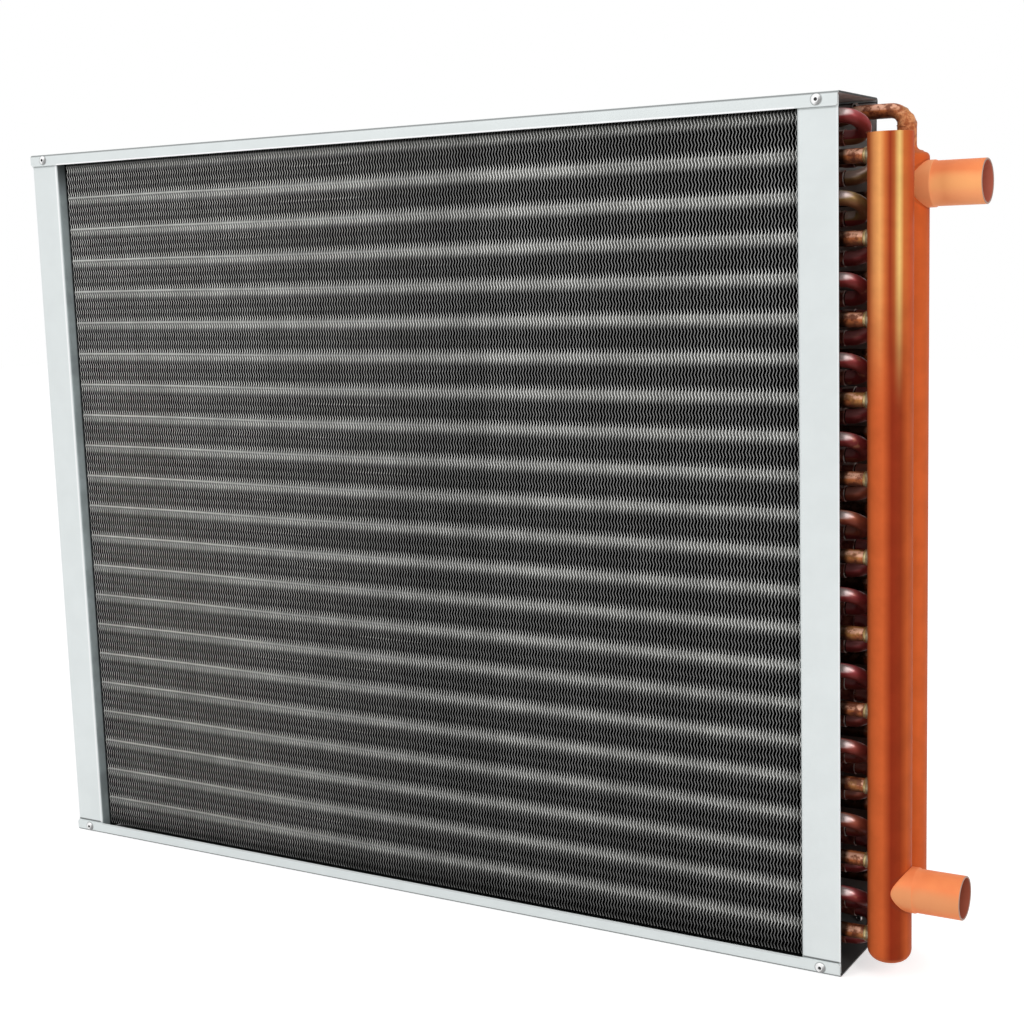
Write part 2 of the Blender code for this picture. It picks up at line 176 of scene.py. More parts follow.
class HeaderSettings(PropertyGroup):
    """Headers and water ports."""

    sides: IntProperty(name="Sides", description="Facets round a header", default=64, min=16)
    end_radius: length_property("End Radius", "Rounding of the closed lower ends", 8 * MM)
    neck_radius: length_property("Neck Radius", "Neck of the rear header", 6.2 * MM)
    port_wall: length_property("Port Wall", "Metal of the ports", 1.3 * MM)
    copper: colour_property("Header Copper", "Colour of the headers", (0.56, 0.13, 0.035))
    port_copper: colour_property("Port Copper", "Colour of the ports", (0.88, 0.25, 0.090))


class StudioSettings(PropertyGroup):
    """Floor, lamps and camera."""

    lens: FloatProperty(name="Lens", description="Focal length in millimetres", default=59.454)
    heading: angle_property("Heading", "Turn of the camera", 30.823)
    tilt: angle_property("Tilt", "Camera above level", -8.498)
    roll: angle_property("Roll", "Camera rolled", -1.827)
    place: FloatVectorProperty(
        name="Place", description="Where the camera stands", size=3, subtype="TRANSLATION",
        default=(0.71083, -1.05595, 0.47773),
    )
    key_power: FloatProperty(name="Key", description="Power of the key lamp in watts", default=11.0)
    fill_power: FloatProperty(name="Fill", description="Power of the fill lamp in watts", default=8.5)
    sky: FloatProperty(name="Sky", description="Strength of the even light", default=0.74)


class CoilSettings(PropertyGroup):
    """All sizes and colours of the coil."""

    casing: PointerProperty(type=CasingSettings)
    fins: PointerProperty(type=FinSettings)
    tubes: PointerProperty(type=TubeSettings)
    headers: PointerProperty(type=HeaderSettings)
    studio: PointerProperty(type=StudioSettings)


def row_y(row):
    """Depth of a tube row."""
    return (row - 1) * ROW_PITCH


def tube_z(row, index):
    """Height of a tube, counted from the top; the middle row lies half a pitch lower."""
    stagger = TUBE_PITCH / 2 if row == MIDDLE else 0
    return TOP_TUBE_Z - stagger - index * TUBE_PITCH


def tube_place(x, row, index):
    """A point on a tube's axis."""
    return x, row_y(row), tube_z(row, index)


def stub_end_x(row):
    return HEADER_X[row] - HEADER_RADIUS + STUB_ENTRY


def rivet_offsets():
    """Rivets' distance from the middle, across and up."""
    return (HALF_WIDTH + WEB_INNER_X) / 2, (HEIGHT - LIP_HEIGHT) / 2


# Wiring of node trees

class Signal:
    """A value in a node tree; a sum, difference or product of signals is one math node."""

    def __init__(self, wiring, socket):
        self.wiring = wiring
        self.socket = socket

    def __add__(self, other):
        return self.wiring.math("ADD", self, other)

    def __sub__(self, other):
        return self.wiring.math("SUBTRACT", self, other)

    def __rsub__(self, other):
        return self.wiring.math("SUBTRACT", other, self)

    def __mul__(self, other):
        return self.wiring.math("MULTIPLY", self, other)

    def __truediv__(self, other):
        return self.wiring.math("DIVIDE", self, other)

    def __abs__(self):
        return self.wiring.math("ABSOLUTE", self)

    __radd__ = __add__
    __rmul__ = __mul__


def rgba(colour):
    """A colour with its alpha; one number stands for a grey."""
    if isinstance(colour, (int, float)):
        colour = (colour, colour, colour)
    return (*colour, 1.0)


class Wiring:
    """Adds nodes to a tree and links them, so that a tree reads as a list of steps."""

    def __init__(self, tree):
        self.tree = tree

    def feed(self, socket, value):
        if isinstance(value, Signal):
            value = value.socket
        if isinstance(value, NodeSocket):
            self.tree.links.new(value, socket)
        else:
            socket.default_value = value

    def node(self, kind, inputs=None, **settings):
        """A node with its settings and inputs."""
        made = self.tree.nodes.new(kind)
        for key, value in settings.items():
            setattr(made, key, value)
        for key, value in (inputs or {}).items():
            self.feed(made.inputs[key], value)
        return made

    def wire(self, kind, inputs=None, output=0, **settings):
        """One output of a new node."""
        return self.node(kind, inputs, **settings).outputs[output]

    def math(self, operation, a, b=0.0):
        return Signal(self, self.wire("ShaderNodeMath", {0: a, 1: b}, operation=operation))

    def greatest(self, first, *others):
        for other in others:
            first = self.math("MAXIMUM", first, other)
        return first

    def vector_math(self, operation, a, b=(0, 0, 0), output="Vector"):
        return self.wire("ShaderNodeVectorMath", {0: a, 1: b}, output, operation=operation)

    def parts(self, vector):
        """X, Y and Z of a vector."""
        return [Signal(self, socket) for socket in self.node("ShaderNodeSeparateXYZ", {0: vector}).outputs]

    def vector(self, x=0.0, y=0.0, z=0.0):
        return self.wire("ShaderNodeCombineXYZ", {0: x, 1: y, 2: z})

    def smooth(self, value, low, high, start=0.0, end=1.0):
        """Runs softly from start to end while the value goes from low to high."""
        inputs = {"Value": value, "From Min": low, "From Max": high, "To Min": start, "To Max": end}
        made = self.wire("ShaderNodeMapRange", inputs, "Result", interpolation_type="SMOOTHSTEP")
        return Signal(self, made)

    def noise(self, vector, scale, detail=3.0, roughness=0.5):
        inputs = {"Vector": vector, "Scale": scale, "Detail": detail, "Roughness": roughness}
        return Signal(self, self.wire("ShaderNodeTexNoise", inputs))

    def chance(self, number):
        """A random value that belongs to a whole number."""
        return Signal(self, self.wire("ShaderNodeTexWhiteNoise", {"W": number}, noise_dimensions="1D"))

    def random(self, low, high, seed):
        """A random value for each point or instance."""
        return self.wire("FunctionNodeRandomValue", {2: low, 3: high, "Seed": seed}, 1, data_type="FLOAT")

    def mix(self, factor, a, b):
        """From one colour to another; a colour is a socket, three numbers or one number for a grey."""
        first, second = [colour if isinstance(colour, NodeSocket) else rgba(colour) for colour in (a, b)]
        return self.wire("ShaderNodeMix", {0: factor, 6: first, 7: second}, 2, data_type="RGBA")

    def scaled(self, colour, factor):
        """A colour made darker or lighter by a factor."""
        return self.wire("ShaderNodeVectorMath", {0: colour, "Scale": factor}, operation="SCALE")

    def ramp(self, value, stops):
        made = self.node("ShaderNodeValToRGB", {0: value})
        elements = made.color_ramp.elements
        while len(elements) < len(stops):
            elements.new(0.5)
        for element, (position, colour) in zip(elements, stops):
            element.position = position
            element.color = rgba(colour)
        return made.outputs[0]


class Paint(Wiring):
    """The node tree of one metal, which knows where each point lies and which way it faces."""

    def __init__(self, name, groups):
        self.material = bpy.data.materials.new(name)
        self.material.use_nodes = True
        self.material.node_tree.nodes.clear()
        super().__init__(self.material.node_tree)
        self.groups = groups
        coordinates = self.node("ShaderNodeTexCoord").outputs
        self.point = coordinates["Object"]
        self.normal = coordinates["Normal"]
        self.x, self.y, self.z = self.parts(self.point)

    def group(self, name, inputs):
        """The outputs of a shared node group."""
        made = self.node("ShaderNodeGroup", inputs, node_tree=self.groups[name])
        return [Signal(self, socket) for socket in made.outputs]

    def band(self, value, centre, half_width, softness):
        """Mask of a band round a value."""
        inputs = {"Value": value, "Centre": centre, "Half Width": half_width, "Softness": softness}
        return self.group("band", inputs)[0]

    def mottle(self, scale, contrast):
        """Clouds, specks and relief of a worked surface."""
        return self.group("mottle", {"Vector": self.point, "Scale": scale, "Contrast": contrast})

    def facing(self, towards, low, high):
        """Mask of what faces one way."""
        return self.group("facing", {"Normal": self.normal, "Towards": towards, "Low": low, "High": high})[0]

    def mouth(self, row, bore):
        """Inside, rim and distance from the axis of the water port on a row's header."""
        return self.group("mouth", {
            "Vector": self.point, "Axis Y": row_y(row), "Axis Z": PORT_Z[row], "Bore Radius": bore,
            "Mouth X": PORT_END_X,
        })

    def finish(self, colour, roughness, metallic, gloss=0.5, bump=None):
        """Ends the tree and returns its material; a bump is a relief, its strength and its distance."""
        inputs = {
            "Base Color": colour, "Roughness": roughness, "Metallic": metallic, "Specular IOR Level": gloss,
        }
        if bump:
            height, strength, distance = bump
            bumps = {"Height": height, "Strength": strength, "Distance": distance}
            inputs["Normal"] = self.wire("ShaderNodeBump", bumps)
        shader = self.wire("ShaderNodeBsdfPrincipled", inputs)
        self.node("ShaderNodeOutputMaterial", {"Surface": shader})
        return self.material


INPUT_KINDS = {float: "Float", int: "Int", tuple: "Vector"}


def new_group(name, kind, inputs, outputs):
    """An empty node group with named sockets: returns it, its wiring, its inputs and its output node.

    An input is given by its default value, or by the word for its kind where it has none.
    """
    tree = bpy.data.node_groups.new(name, kind)
    for label, value in inputs.items():
        word = value if isinstance(value, str) else INPUT_KINDS[type(value)]
        socket = tree.interface.new_socket(name=label, in_out="INPUT", socket_type="NodeSocket" + word)
        if word != value:
            socket.default_value = value
    for label, word in outputs.items():
        tree.interface.new_socket(name=label, in_out="OUTPUT", socket_type="NodeSocket" + word)
    wiring = Wiring(tree)
    start = {socket.name: Signal(wiring, socket) for socket in wiring.node("NodeGroupInput").outputs}
    end = wiring.node("NodeGroupOutput").inputs
    return tree, wiring, start, end


def band_group():
    """Mask of a band round a value, with soft sides."""
    inputs = {"Value": 0.0, "Centre": 0.0, "Half Width": 0.01, "Softness": 0.001}
    tree, w, start, end = new_group("Soft Band", "ShaderNodeTree", inputs, {"Mask": "Float"})
    away = abs(start["Value"] - start["Centre"])
    inner = start["Half Width"] - start["Softness"]
    outer = start["Half Width"] + start["Softness"]
    w.feed(end["Mask"], w.smooth(away, inner, outer, 1.0, 0.0))
    return tree


def mottle_group():
    """Clouds and specks of a worked metal surface."""
    inputs = {"Vector": "Vector", "Scale": 100.0, "Contrast": 0.15}
    outputs = {"Cloud": "Float", "Speck": "Float", "Height": "Float"}
    tree, w, start, end = new_group("Metal Mottle", "ShaderNodeTree", inputs, outputs)
    coarse = w.noise(start["Vector"], start["Scale"], 3.0, 0.55)
    fine = w.noise(start["Vector"], start["Scale"] * 7.0, 2.0, 0.6)
    w.feed(end["Cloud"], w.smooth(coarse, 0.5 - start["Contrast"], 0.5 + start["Contrast"]))
    w.feed(end["Speck"], w.smooth(fine, 0.56, 0.72))
    w.feed(end["Height"], coarse * 0.7 + fine * 0.3)
    return tree


def facing_group():
    """Mask of the sides of a round piece that face one way."""
    inputs = {"Normal": "Vector", "Towards": (0.0, 0.0, 1.0), "Low": 0.0, "High": 1.0}
    tree, w, start, end = new_group("Facing Side", "ShaderNodeTree", inputs, {"Mask": "Float"})
    towards = w.vector_math("NORMALIZE", start["Towards"])
    facing = w.vector_math("DOT_PRODUCT", start["Normal"], towards, output="Value")
    w.feed(end["Mask"], w.smooth(facing, start["Low"], start["High"]))
    return tree


def mouth_group():
    """Masks of the inside and the rim of an open tube along X."""
    inputs = {"Vector": "Vector", "Axis Y": 0.0, "Axis Z": 0.0, "Bore Radius": 0.01, "Mouth X": 0.0}
    outputs = {"Inside": "Float", "Rim": "Float", "Radius": "Float"}
    tree, w, start, end = new_group("Tube Mouth", "ShaderNodeTree", inputs, outputs)
    x, y, z = w.parts(start["Vector"])
    beside = y - start["Axis Y"]
    over = z - start["Axis Z"]
    radius = w.math("SQRT", beside * beside + over * over)
    w.feed(end["Inside"], w.smooth(radius - start["Bore Radius"], 0.1 * MM, 0.4 * MM, 1.0, 0.0))
    w.feed(end["Rim"], w.smooth(start["Mouth X"] - x, 0.1 * MM, 0.5 * MM, 1.0, 0.0))
    w.feed(end["Radius"], radius)
    return tree


class Finishes:
    """The metals of the coil, made once and shared by its pieces."""

    def __init__(self, settings):
        self.settings = settings
        self.masks = {
            "band": band_group(), "mottle": mottle_group(), "facing": facing_group(), "mouth": mouth_group(),
        }
        self.made = {}

    def start(self, name):
        return Paint(name, self.masks)

    def from_rivet(self, w):
        """Distance from the axis of the nearest rivet."""
        x, z = rivet_offsets()
        beside = abs(w.x) - x
        over = abs(w.z - HEIGHT / 2) - z
        return w.math("SQRT", beside * beside + over * over)

    def steel(self):
        """Galvanised sheet, with painted highlights on its edges, painted shade on its folds and painted
        shade on the faces inside.
        """
        casing = self.settings.casing
        w = self.start("galvanised_sheet")
        across, deep = abs(w.x), abs(w.y)
        height = w.z - HEIGHT / 2
        from_middle = abs(height)
        lip_z = HEIGHT / 2 - LIP_HEIGHT
        cloud, speck, relief = w.mottle(45.0, 0.25)
        # Random clouds, and painted light that makes the sheet lighter towards the bottom.
        tone = w.smooth(cloud, 0, 1, 0.985, 1.015) * w.smooth(w.z, 0, 0.5, 1.06, 0.97)
        colour = w.scaled(casing.steel, tone)

        def upwards(bottom, top):
            return w.smooth(height, -0.1, 0.1, bottom, top)

        def rightwards(left, right):
            return w.smooth(w.x, -0.1, 0.1, left, right)

        on_front = w.smooth(deep, FLANGE_FACE_Y - 0.6 * MM, FLANGE_FACE_Y - 0.1 * MM)
        on_lip = w.smooth(deep, HALF_DEPTH - 0.9 * MM, HALF_DEPTH - 0.4 * MM)
        on_flange = on_front * w.smooth(from_middle, lip_z - 0.1 * MM, lip_z, 1, 0)

        # Painted shade on the outer folds, darker on the bottom plate than on the top plate.
        outer_fold = w.smooth(from_middle, HEIGHT / 2 - 2.0 * MM, HEIGHT / 2 - 0.9 * MM)
        outer_fold *= w.smooth(deep, HALF_DEPTH - 1.7 * MM, HALF_DEPTH - 0.9 * MM)
        fold_shade = w.mix(upwards(0, 1), (0.17, 0.18, 0.18), (0.27, 0.285, 0.285))
        colour = w.mix(outer_fold, colour, fold_shade)

        # Painted highlight along the lips' free edges, strongest above the fins; the bottom plate's is
        # greyer.
        over_fins = w.smooth(across, WEB_INNER_X - 1 * MM, WEB_INNER_X, 1.0, 0.12) * upwards(0.8, 0.9)
        lip_edge = w.band(from_middle, lip_z + 0.45 * MM, 0.6 * MM, 0.35 * MM) * on_lip * over_fins
        edge_tone = w.mix(upwards(0, 1), (0.60, 0.63, 0.63), casing.steel_highlight)
        colour = w.mix(lip_edge, colour, edge_tone)
        # Painted shadow on the flanges just under the lips, darker at the bottom.
        under_lip = w.band(from_middle, lip_z - 0.5 * MM, 0.75 * MM, 0.35 * MM) * on_flange
        colour = w.mix(under_lip * upwards(0.85, 0.3), colour, (0.07, 0.075, 0.075))

        # Painted highlight along the inner folds of the flanges, on the left only.
        inner_fold = w.band(across, WEB_INNER_X + 1.0 * MM, 1.15 * MM, 0.6 * MM) * rightwards(0.9, 0.0)
        colour = w.mix(inner_fold * on_flange, colour, casing.steel_highlight)
        # Painted highlight along the flanges' outer edges, stronger on the left.
        rim = w.band(across, HALF_WIDTH - 0.5 * MM, 0.6 * MM, 0.4 * MM) * rightwards(0.9, 0.35)
        colour = w.mix(rim * on_flange, colour, casing.steel_highlight)
        # Painted shade in a ring round each rivet head.
        ring = w.band(self.from_rivet(w), 3.55 * MM, 0.45 * MM, 0.3 * MM)
        colour = w.mix(ring * on_lip * 0.55, colour, (0.20, 0.21, 0.21))

        # Painted shade on the webs' inner faces beside the fins: darker low down, under the top plate and
        # behind the fins, with random clouds.
        inside = w.smooth(deep, FLANGE_FACE_Y - 0.9 * MM, FLANGE_FACE_Y - 0.5 * MM, 1, 0)
        beside_fins = inside * w.smooth(across, WEB_INNER_X + 0.4 * MM, WEB_INNER_X + 0.8 * MM, 1, 0)
        web_shade = w.smooth(w.z, 0.02, 0.27, 0.66, 0.94) * w.smooth(w.z, 0.3, 0.5, 1, 0.86)
        web_shade *= w.smooth(w.z, 0.535, 0.562, 1.0, 0.35)
        web_shade *= w.smooth(cloud, 0, 1, 0.82, 1.12)
        web_shade *= w.smooth(deep, FINS_HIGH.y - 1.6 * MM, FINS_HIGH.y + 0.2 * MM, 0.06, 1.0)
        colour = w.mix(beside_fins, colour, w.scaled(casing.steel_shade, web_shade))

        # Painted shade in the pocket outside each web: near black on the web, grey on the rear flange and
        # lighter towards its top, a painted shadow line under the top plate, and the bottom plate's inner
        # face near black.
        outside_web = inside * w.smooth(across, WEB_OUTER_X - 0.3 * MM, WEB_OUTER_X - 0.05 * MM)
        pocket_shade = w.mix(cloud, (0.016, 0.009, 0.008), (0.036, 0.031, 0.029))
        on_back = w.smooth(deep, FLANGE_FACE_Y - 1.9 * MM, FLANGE_FACE_Y - 1.4 * MM)
        back = w.mix(cloud, (0.20, 0.205, 0.20), (0.32, 0.33, 0.33))
        back = w.scaled(back, w.smooth(w.z, 0.35, 0.54, 0.62, 1.3))
        contact_shadow = w.band(from_middle, HEIGHT / 2 - 2.3 * MM, 1.0 * MM, 0.4 * MM)
        pocket_shade = w.mix(on_back, pocket_shade, w.mix(contact_shadow, back, 0.012))
        under_plate = w.smooth(from_middle, HEIGHT / 2 - 2.2 * MM, HEIGHT / 2 - 1.4 * MM) * (1.0 - on_back)
        plate_inside = w.mix(w.smooth(w.z, 0.2, 0.4), 0.09, (0.63, 0.60, 0.59))
        colour = w.mix(outside_web, colour, w.mix(under_plate, pocket_shade, plate_inside))

        # Painted shade on the flanges' cut edges and the plates' ends, near black.
        cut_edge = w.smooth(across, HALF_WIDTH - 0.06 * MM, HALF_WIDTH - 0.02 * MM)
        cut_edge *= w.smooth(from_middle, lip_z - 0.2 * MM, lip_z + 0.1 * MM, 1.0, 0.35)
        plate_end = w.smooth(across, HALF_WIDTH - 0.5 * MM, HALF_WIDTH - 0.1 * MM)
        plate_end *= w.smooth(w.y, -HALF_DEPTH + 1.5 * MM, -HALF_DEPTH + 3 * MM)
        colour = w.mix(w.greatest(cut_edge, plate_end), colour, 0.02)
        return w.finish(colour, w.smooth(speck, 0, 1, 0.48, 0.40), 0.08, 0.2, (relief, 0.05, 0.0004))

    def collar_steel(self):
        """Galvanised collars drawn out of the tube sheets round the tubes, painted dark as shade, with a
        painted highlight where they face up.
        """
        w = self.start("galvanised_collar")
        cloud, _, relief = w.mottle(260.0, 0.2)
        # Painted shade darkens the collars; the facing mask paints their highlight.
        colour = w.mix(cloud, (0.035, 0.032, 0.030), (0.13, 0.125, 0.12))
        colour = w.mix(w.facing((0.1, -0.6, 0.8), 0.82, 0.97), colour, (0.62, 0.63, 0.62))
        return w.finish(colour, 0.45, 0.15, 0.08, (relief, 0.15, 0.0004))

    def fin_metal(self):
        """Fins: grey edges, sides painted darker with depth as shade, and painted highlights in bands at the
        tubes.
        """
        fins = self.settings.fins
        w = self.start("fin_sheet")
        depth = FINS_HIGH.y - abs(w.y)
        turn = w.math("FRACT", (w.z - TOP_TUBE_Z) / TUBE_PITCH + (TUBES_HIGH + 0.5))
        above = (turn - 0.5) * TUBE_PITCH
        from_below = above + w.smooth(w.x, -0.30, -0.16, -1.4 * MM, 0.0)
        below_band = w.smooth(from_below, -5.4 * MM, 0.8 * MM)
        # Painted highlights: a band above each tube, a bright dash line and a fainter band lower down, where
        # the collars catch the light.
        core = below_band * w.smooth(above, 3.4 * MM, 5.6 * MM, 1, 0)
        core *= w.smooth(w.x, -0.31, -0.12, 0.62, 0.86)
        tips = below_band * w.smooth(above, 4.4 * MM, 10.0 * MM, 0.85, 0.0)
        dash_height = 2.7 * MM + w.smooth(abs(w.x), 0.08, 0.24) * (1.1 * MM)
        dash = w.band(above - dash_height, 0.0, 0.65 * MM, 0.3 * MM) * w.smooth(w.x, -0.10, 0.12, 1.0, 0.55)
        streaks = w.noise(w.vector_math("MULTIPLY", w.point, (9.0, 0.0, 42.0)), 1.0, 2.0)
        second_row = w.band(above + 8.6 * MM, 0.0, 0.6 * MM, 0.4 * MM)
        second_row *= w.smooth(streaks, 0.52, 0.60, 0.0, 0.8) * w.smooth(w.x, -0.05, 0.1, 1, 0)

        cloud = w.mottle(55.0, 0.3)[0]
        # Painted light lighter towards the top, painted shade at the foot and a painted shadow under the top
        # lip, with random clouds and a random tone for each packet.
        tone = w.smooth(w.z, 0.0, 0.574, 0.80, 1.0) * w.smooth(w.z, 0.009, 0.02, 0.6, 1.0)
        tone *= w.smooth(w.z, 0.5622, 0.5642, 1.0, 0.10) * w.smooth(cloud, 0, 1, 0.88, 1.1)
        packet = w.math("FLOOR", (w.x + 1.0) / FIN_PACKET)
        tone *= 0.92 + w.chance(packet) * 0.16
        band = core * w.smooth(streaks, 0.35, 0.65, 0.86, 1.12)
        bright = w.greatest(band * w.smooth(w.x, 0.0, 0.25, 1.0, 0.72), tips, dash, second_row)

        # Painted light on the waves: the rising faces lighter and the falling faces darker, most at the left
        # end.
        wave_length = TUBE_PITCH / fins.waves_per_tube
        along_wave = (w.z - (FINS_LOW.z - fins.foot_drop - 1.0)) / wave_length
        rising = w.band(w.math("FRACT", along_wave), 0.5, 0.25, 0.08)
        facet = 1.0 + (rising - 0.5) * w.smooth(w.x, -0.3, 0.25, 0.5, 0.06)

        # The edges are painted darker towards the right, and take the painted highlights in the bands.
        plain = w.scaled(fins.edge, w.smooth(w.x, -0.35, 0.1, 0.77, 0.38))
        edge = w.mix(bright, plain, (0.98, 0.98, 0.95))
        edge = w.scaled(w.scaled(edge, tone), facet)
        # Painted light on each side near its edge, painted shade that darkens the gaps to near black with
        # depth, and a painted sheen of the tubes in the bands.
        lit_depth = 0.38 * MM + w.x * 0.0011
        near_edge = w.smooth(depth - lit_depth, -0.2 * MM, 0.2 * MM, 0.95, 0.0)
        tube_tone = w.mix(w.smooth(w.x, -0.05, 0.22), (0.38, 0.38, 0.365), (0.57, 0.57, 0.545))
        between = dash * w.smooth(w.x, -0.22, -0.08, 1.0, 0.45)
        gap = w.mix(between, w.mix(band, 0.0015, tube_tone), (0.97, 0.97, 0.94))
        gap = w.scaled(gap, w.smooth(depth, 2.0 * MM, 12.0 * MM, 1.0, 0.4))
        side = w.mix(near_edge, w.scaled(gap, tone), edge)
        on_edge = w.smooth(depth, 0.02 * MM, 0.12 * MM, 1, 0)
        return w.finish(w.mix(on_edge, side, edge), 0.5, 0.1, 0.06)

    def collar_aluminium(self):
        """Fin collars round the tubes, lit from above."""
        w = self.start("fin_collar")
        ring = w.band(w.math("FRACT", (w.x + 1.0) / self.settings.fins.pitch), 0.5, 0.3, 0.12)
        # Painted highlight where the collars face up, painted shade below it, and a little darker once in
        # every fin pitch.
        colour = w.mix(w.facing((0.0, -0.6, 0.8), 0.3, 0.95), 0.05, (0.75, 0.75, 0.73))
        return w.finish(w.scaled(colour, w.smooth(ring, 0, 1, 0.6, 1.0)), 0.4, 0.2, 0.1)

    def bend_copper(self):
        """Return bends: maroon, with a pink painted sheen and a painted highlight where they face up and to
        the front, and painted shade on their undersides.
        """
        copper = self.settings.tubes.copper
        w = self.start("bend_copper")
        cloud, speck, relief = w.mottle(75.0, 0.2)
        number = w.math("FLOOR", (w.z + TUBE_PITCH / 2) / (2 * TUBE_PITCH))
        chance = w.chance(number)
        heated = w.band(number, HEATED_BEND, 0.4, 0.1)
        tint = w.ramp(chance, [(0.0, copper), (0.72, copper), (1.0, (0.38, 0.10, 0.045))])
        tint = w.mix(heated, tint, (0.30, 0.17, 0.06))
        pinks = [(0.0, (0.62, 0.16, 0.18)), (0.72, (0.60, 0.17, 0.16)), (1.0, (0.62, 0.26, 0.14))]
        shine = w.mix(heated, w.ramp(chance, pinks), (0.50, 0.36, 0.15))
        # Painted light: a pink sheen and a white highlight on the front row's upper fronts, little on the
        # rows behind save the heated bend; the highlight is also more metallic.
        in_front = w.greatest(w.smooth(w.y, -0.013, -0.006, 1.0, 0.12), heated * 0.6)
        painted_sheen = w.facing((-0.2, -0.68, 0.70), 0.35, 0.98) * (in_front * 0.7)
        colour = w.mix(painted_sheen, w.mix(cloud * 0.5, tint, w.scaled(tint, 0.5)), shine)
        gleam = w.facing((-0.18, -0.80, 0.57), 0.66, 0.94) * in_front
        colour = w.mix(gleam * 0.95, colour, (0.98, 0.80, 0.77))
        # Painted shade on the undersides.
        under = w.facing((0.3, -0.2, -0.9), 0.1, 0.9)
        colour = w.mix(under * 0.7, colour, (0.10, 0.02, 0.015))
        brass = w.noise(w.point, 130.0, 2.0)
        colour = w.mix(w.smooth(brass, 0.64, 0.74, 0.0, 0.35), colour, (0.42, 0.20, 0.10))
        roughness = w.smooth(speck, 0, 1, 0.30, 0.44)
        return w.finish(colour, roughness, 0.15 + gleam * 0.65, 0.08, (relief, 0.05, 0.0005))

    def stained_copper(self, w):
        """Brown copper stained by the flame, with one narrow painted highlight along its upper front and
        painted shade on its underside; also its relief.
        """
        cloud, _, relief = w.mottle(210.0, 0.11)
        colour = w.mix(cloud, (0.17, 0.042, 0.018), self.settings.tubes.stub_copper)
        stain = w.noise(w.point, 60.0, 3.0, 0.6)
        colour = w.mix(w.smooth(stain, 0.52, 0.66, 0.0, 0.65), colour, (0.50, 0.25, 0.07))
        # Painted highlight along the upper front, and painted shade on the undersides.
        painted_sheen = w.facing((0.0, -0.80, 0.60), 0.80, 0.99) * w.smooth(cloud, 0, 1, 0.10, 0.80)
        colour = w.mix(painted_sheen, colour, (0.95, 0.56, 0.40))
        under = w.facing((0.1, -0.2, -0.95), 0.1, 0.9)
        return w.mix(under * 0.75, colour, (0.05, 0.018, 0.012)), relief

    def stub_copper(self):
        """Straight stubs between the tube sheet and the headers."""
        w = self.start("stub_copper")
        colour, relief = self.stained_copper(w)
        # Painted shadow: the stubs are near black next to the tube sheet, in the flange's shade.
        by_sheet = w.smooth(w.x, WEB_OUTER_X + 24 * MM, WEB_OUTER_X + 28 * MM, 0.08, 1.0)
        return w.finish(w.scaled(colour, by_sheet), 0.40, 0.2, 0.12, (relief, 0.15, 0.0005))

    def cup_copper(self):
        """Belled ends and braze between the legs and the return bends."""
        w = self.start("cup_copper")
        cloud, _, relief = w.mottle(190.0, 0.18)
        colour = w.mix(cloud, (0.11, 0.025, 0.020), (0.27, 0.085, 0.055))
        # Painted highlight along the cups' tops, and broken painted glints on their rims.
        colour = w.mix(w.facing((0.0, -0.25, 0.97), 0.82, 0.97) * 0.45, colour, (0.70, 0.62, 0.58))
        rim = w.band(w.x, CUP_END_X - 0.15 * MM, 0.3 * MM, 0.1 * MM)
        lit_rim = w.smooth(w.noise(w.point, 170.0, 1.0), 0.46, 0.62, 0.08, 0.8)
        colour = w.mix(rim * lit_rim, colour, (0.60, 0.57, 0.53))
        groove = w.smooth(w.x, CUP_END_X + 0.15 * MM, CUP_END_X + 0.3 * MM)
        colour = w.mix(groove, colour, (0.02, 0.012, 0.01))
        return w.finish(colour, 0.40, 0.15, 0.08, (relief, 0.2, 0.0004))

    def braze(self):
        """Rings of braze where the stubs enter the headers: brass, then a pale ring of flux."""
        w = self.start("braze_ring")
        cloud, _, relief = w.mottle(240.0, 0.2)
        brass = w.mix(cloud, (0.60, 0.40, 0.13), (0.92, 0.80, 0.42))
        flux = w.mix(cloud, (0.52, 0.36, 0.20), (0.90, 0.82, 0.58))
        wall = HEADER_X[FRONT] - HEADER_RADIUS
        colour = w.mix(w.smooth(w.x, wall - 1.5 * MM, wall - 0.9 * MM), brass, flux)
        # Painted shade on the rings' undersides.
        colour = w.mix(w.facing((0.0, -0.1, -1.0), 0.0, 0.9) * 0.75, colour, (0.10, 0.045, 0.02))
        return w.finish(colour, 0.35, 0.75, bump=(relief, 0.35, 0.0005))

    def crust(self, w, dark, light, specks, amount):
        """Rough braze and flux with dark specks; also its relief."""
        cloud, speck, relief = w.mottle(260.0, 0.15)
        return w.mix(speck * amount, w.mix(cloud, dark, light), specks), relief

    def feed_copper(self):
        """The feed tube, with a rough crust of braze and flux towards the neck."""
        w = self.start("feed_copper")
        colour = self.stained_copper(w)[0]
        rough, relief = self.crust(w, (0.40, 0.11, 0.035), (0.72, 0.31, 0.13), (0.08, 0.025, 0.015), 0.75)
        near = w.smooth(w.x, HEADER_X[REAR] - 12 * MM, HEADER_X[REAR] - 2 * MM)
        near *= w.smooth(w.z, NECK_TOP_Z + 5 * MM, NECK_TOP_Z + 12 * MM, 1.0, 0.25)
        # Painted shade: the feed tube is darker towards the tube sheet.
        from_sheet = w.smooth(w.x, WEB_OUTER_X + 6 * MM, WEB_OUTER_X + 34 * MM, 0.5, 1.0)
        colour = w.scaled(w.mix(near, colour, rough), from_sheet)
        return w.finish(colour, 0.40, 0.2, 0.12, (relief * near, 0.5, 0.0008))

    def header_copper(self, name, row, high_stops, low_stops):
        """Upright headers: copper with painted reflections in long soft streaks round them, and other painted
        streaks in the lower half.
        """
        w = self.start(name)
        side_x, side_y, upright = w.parts(w.normal)
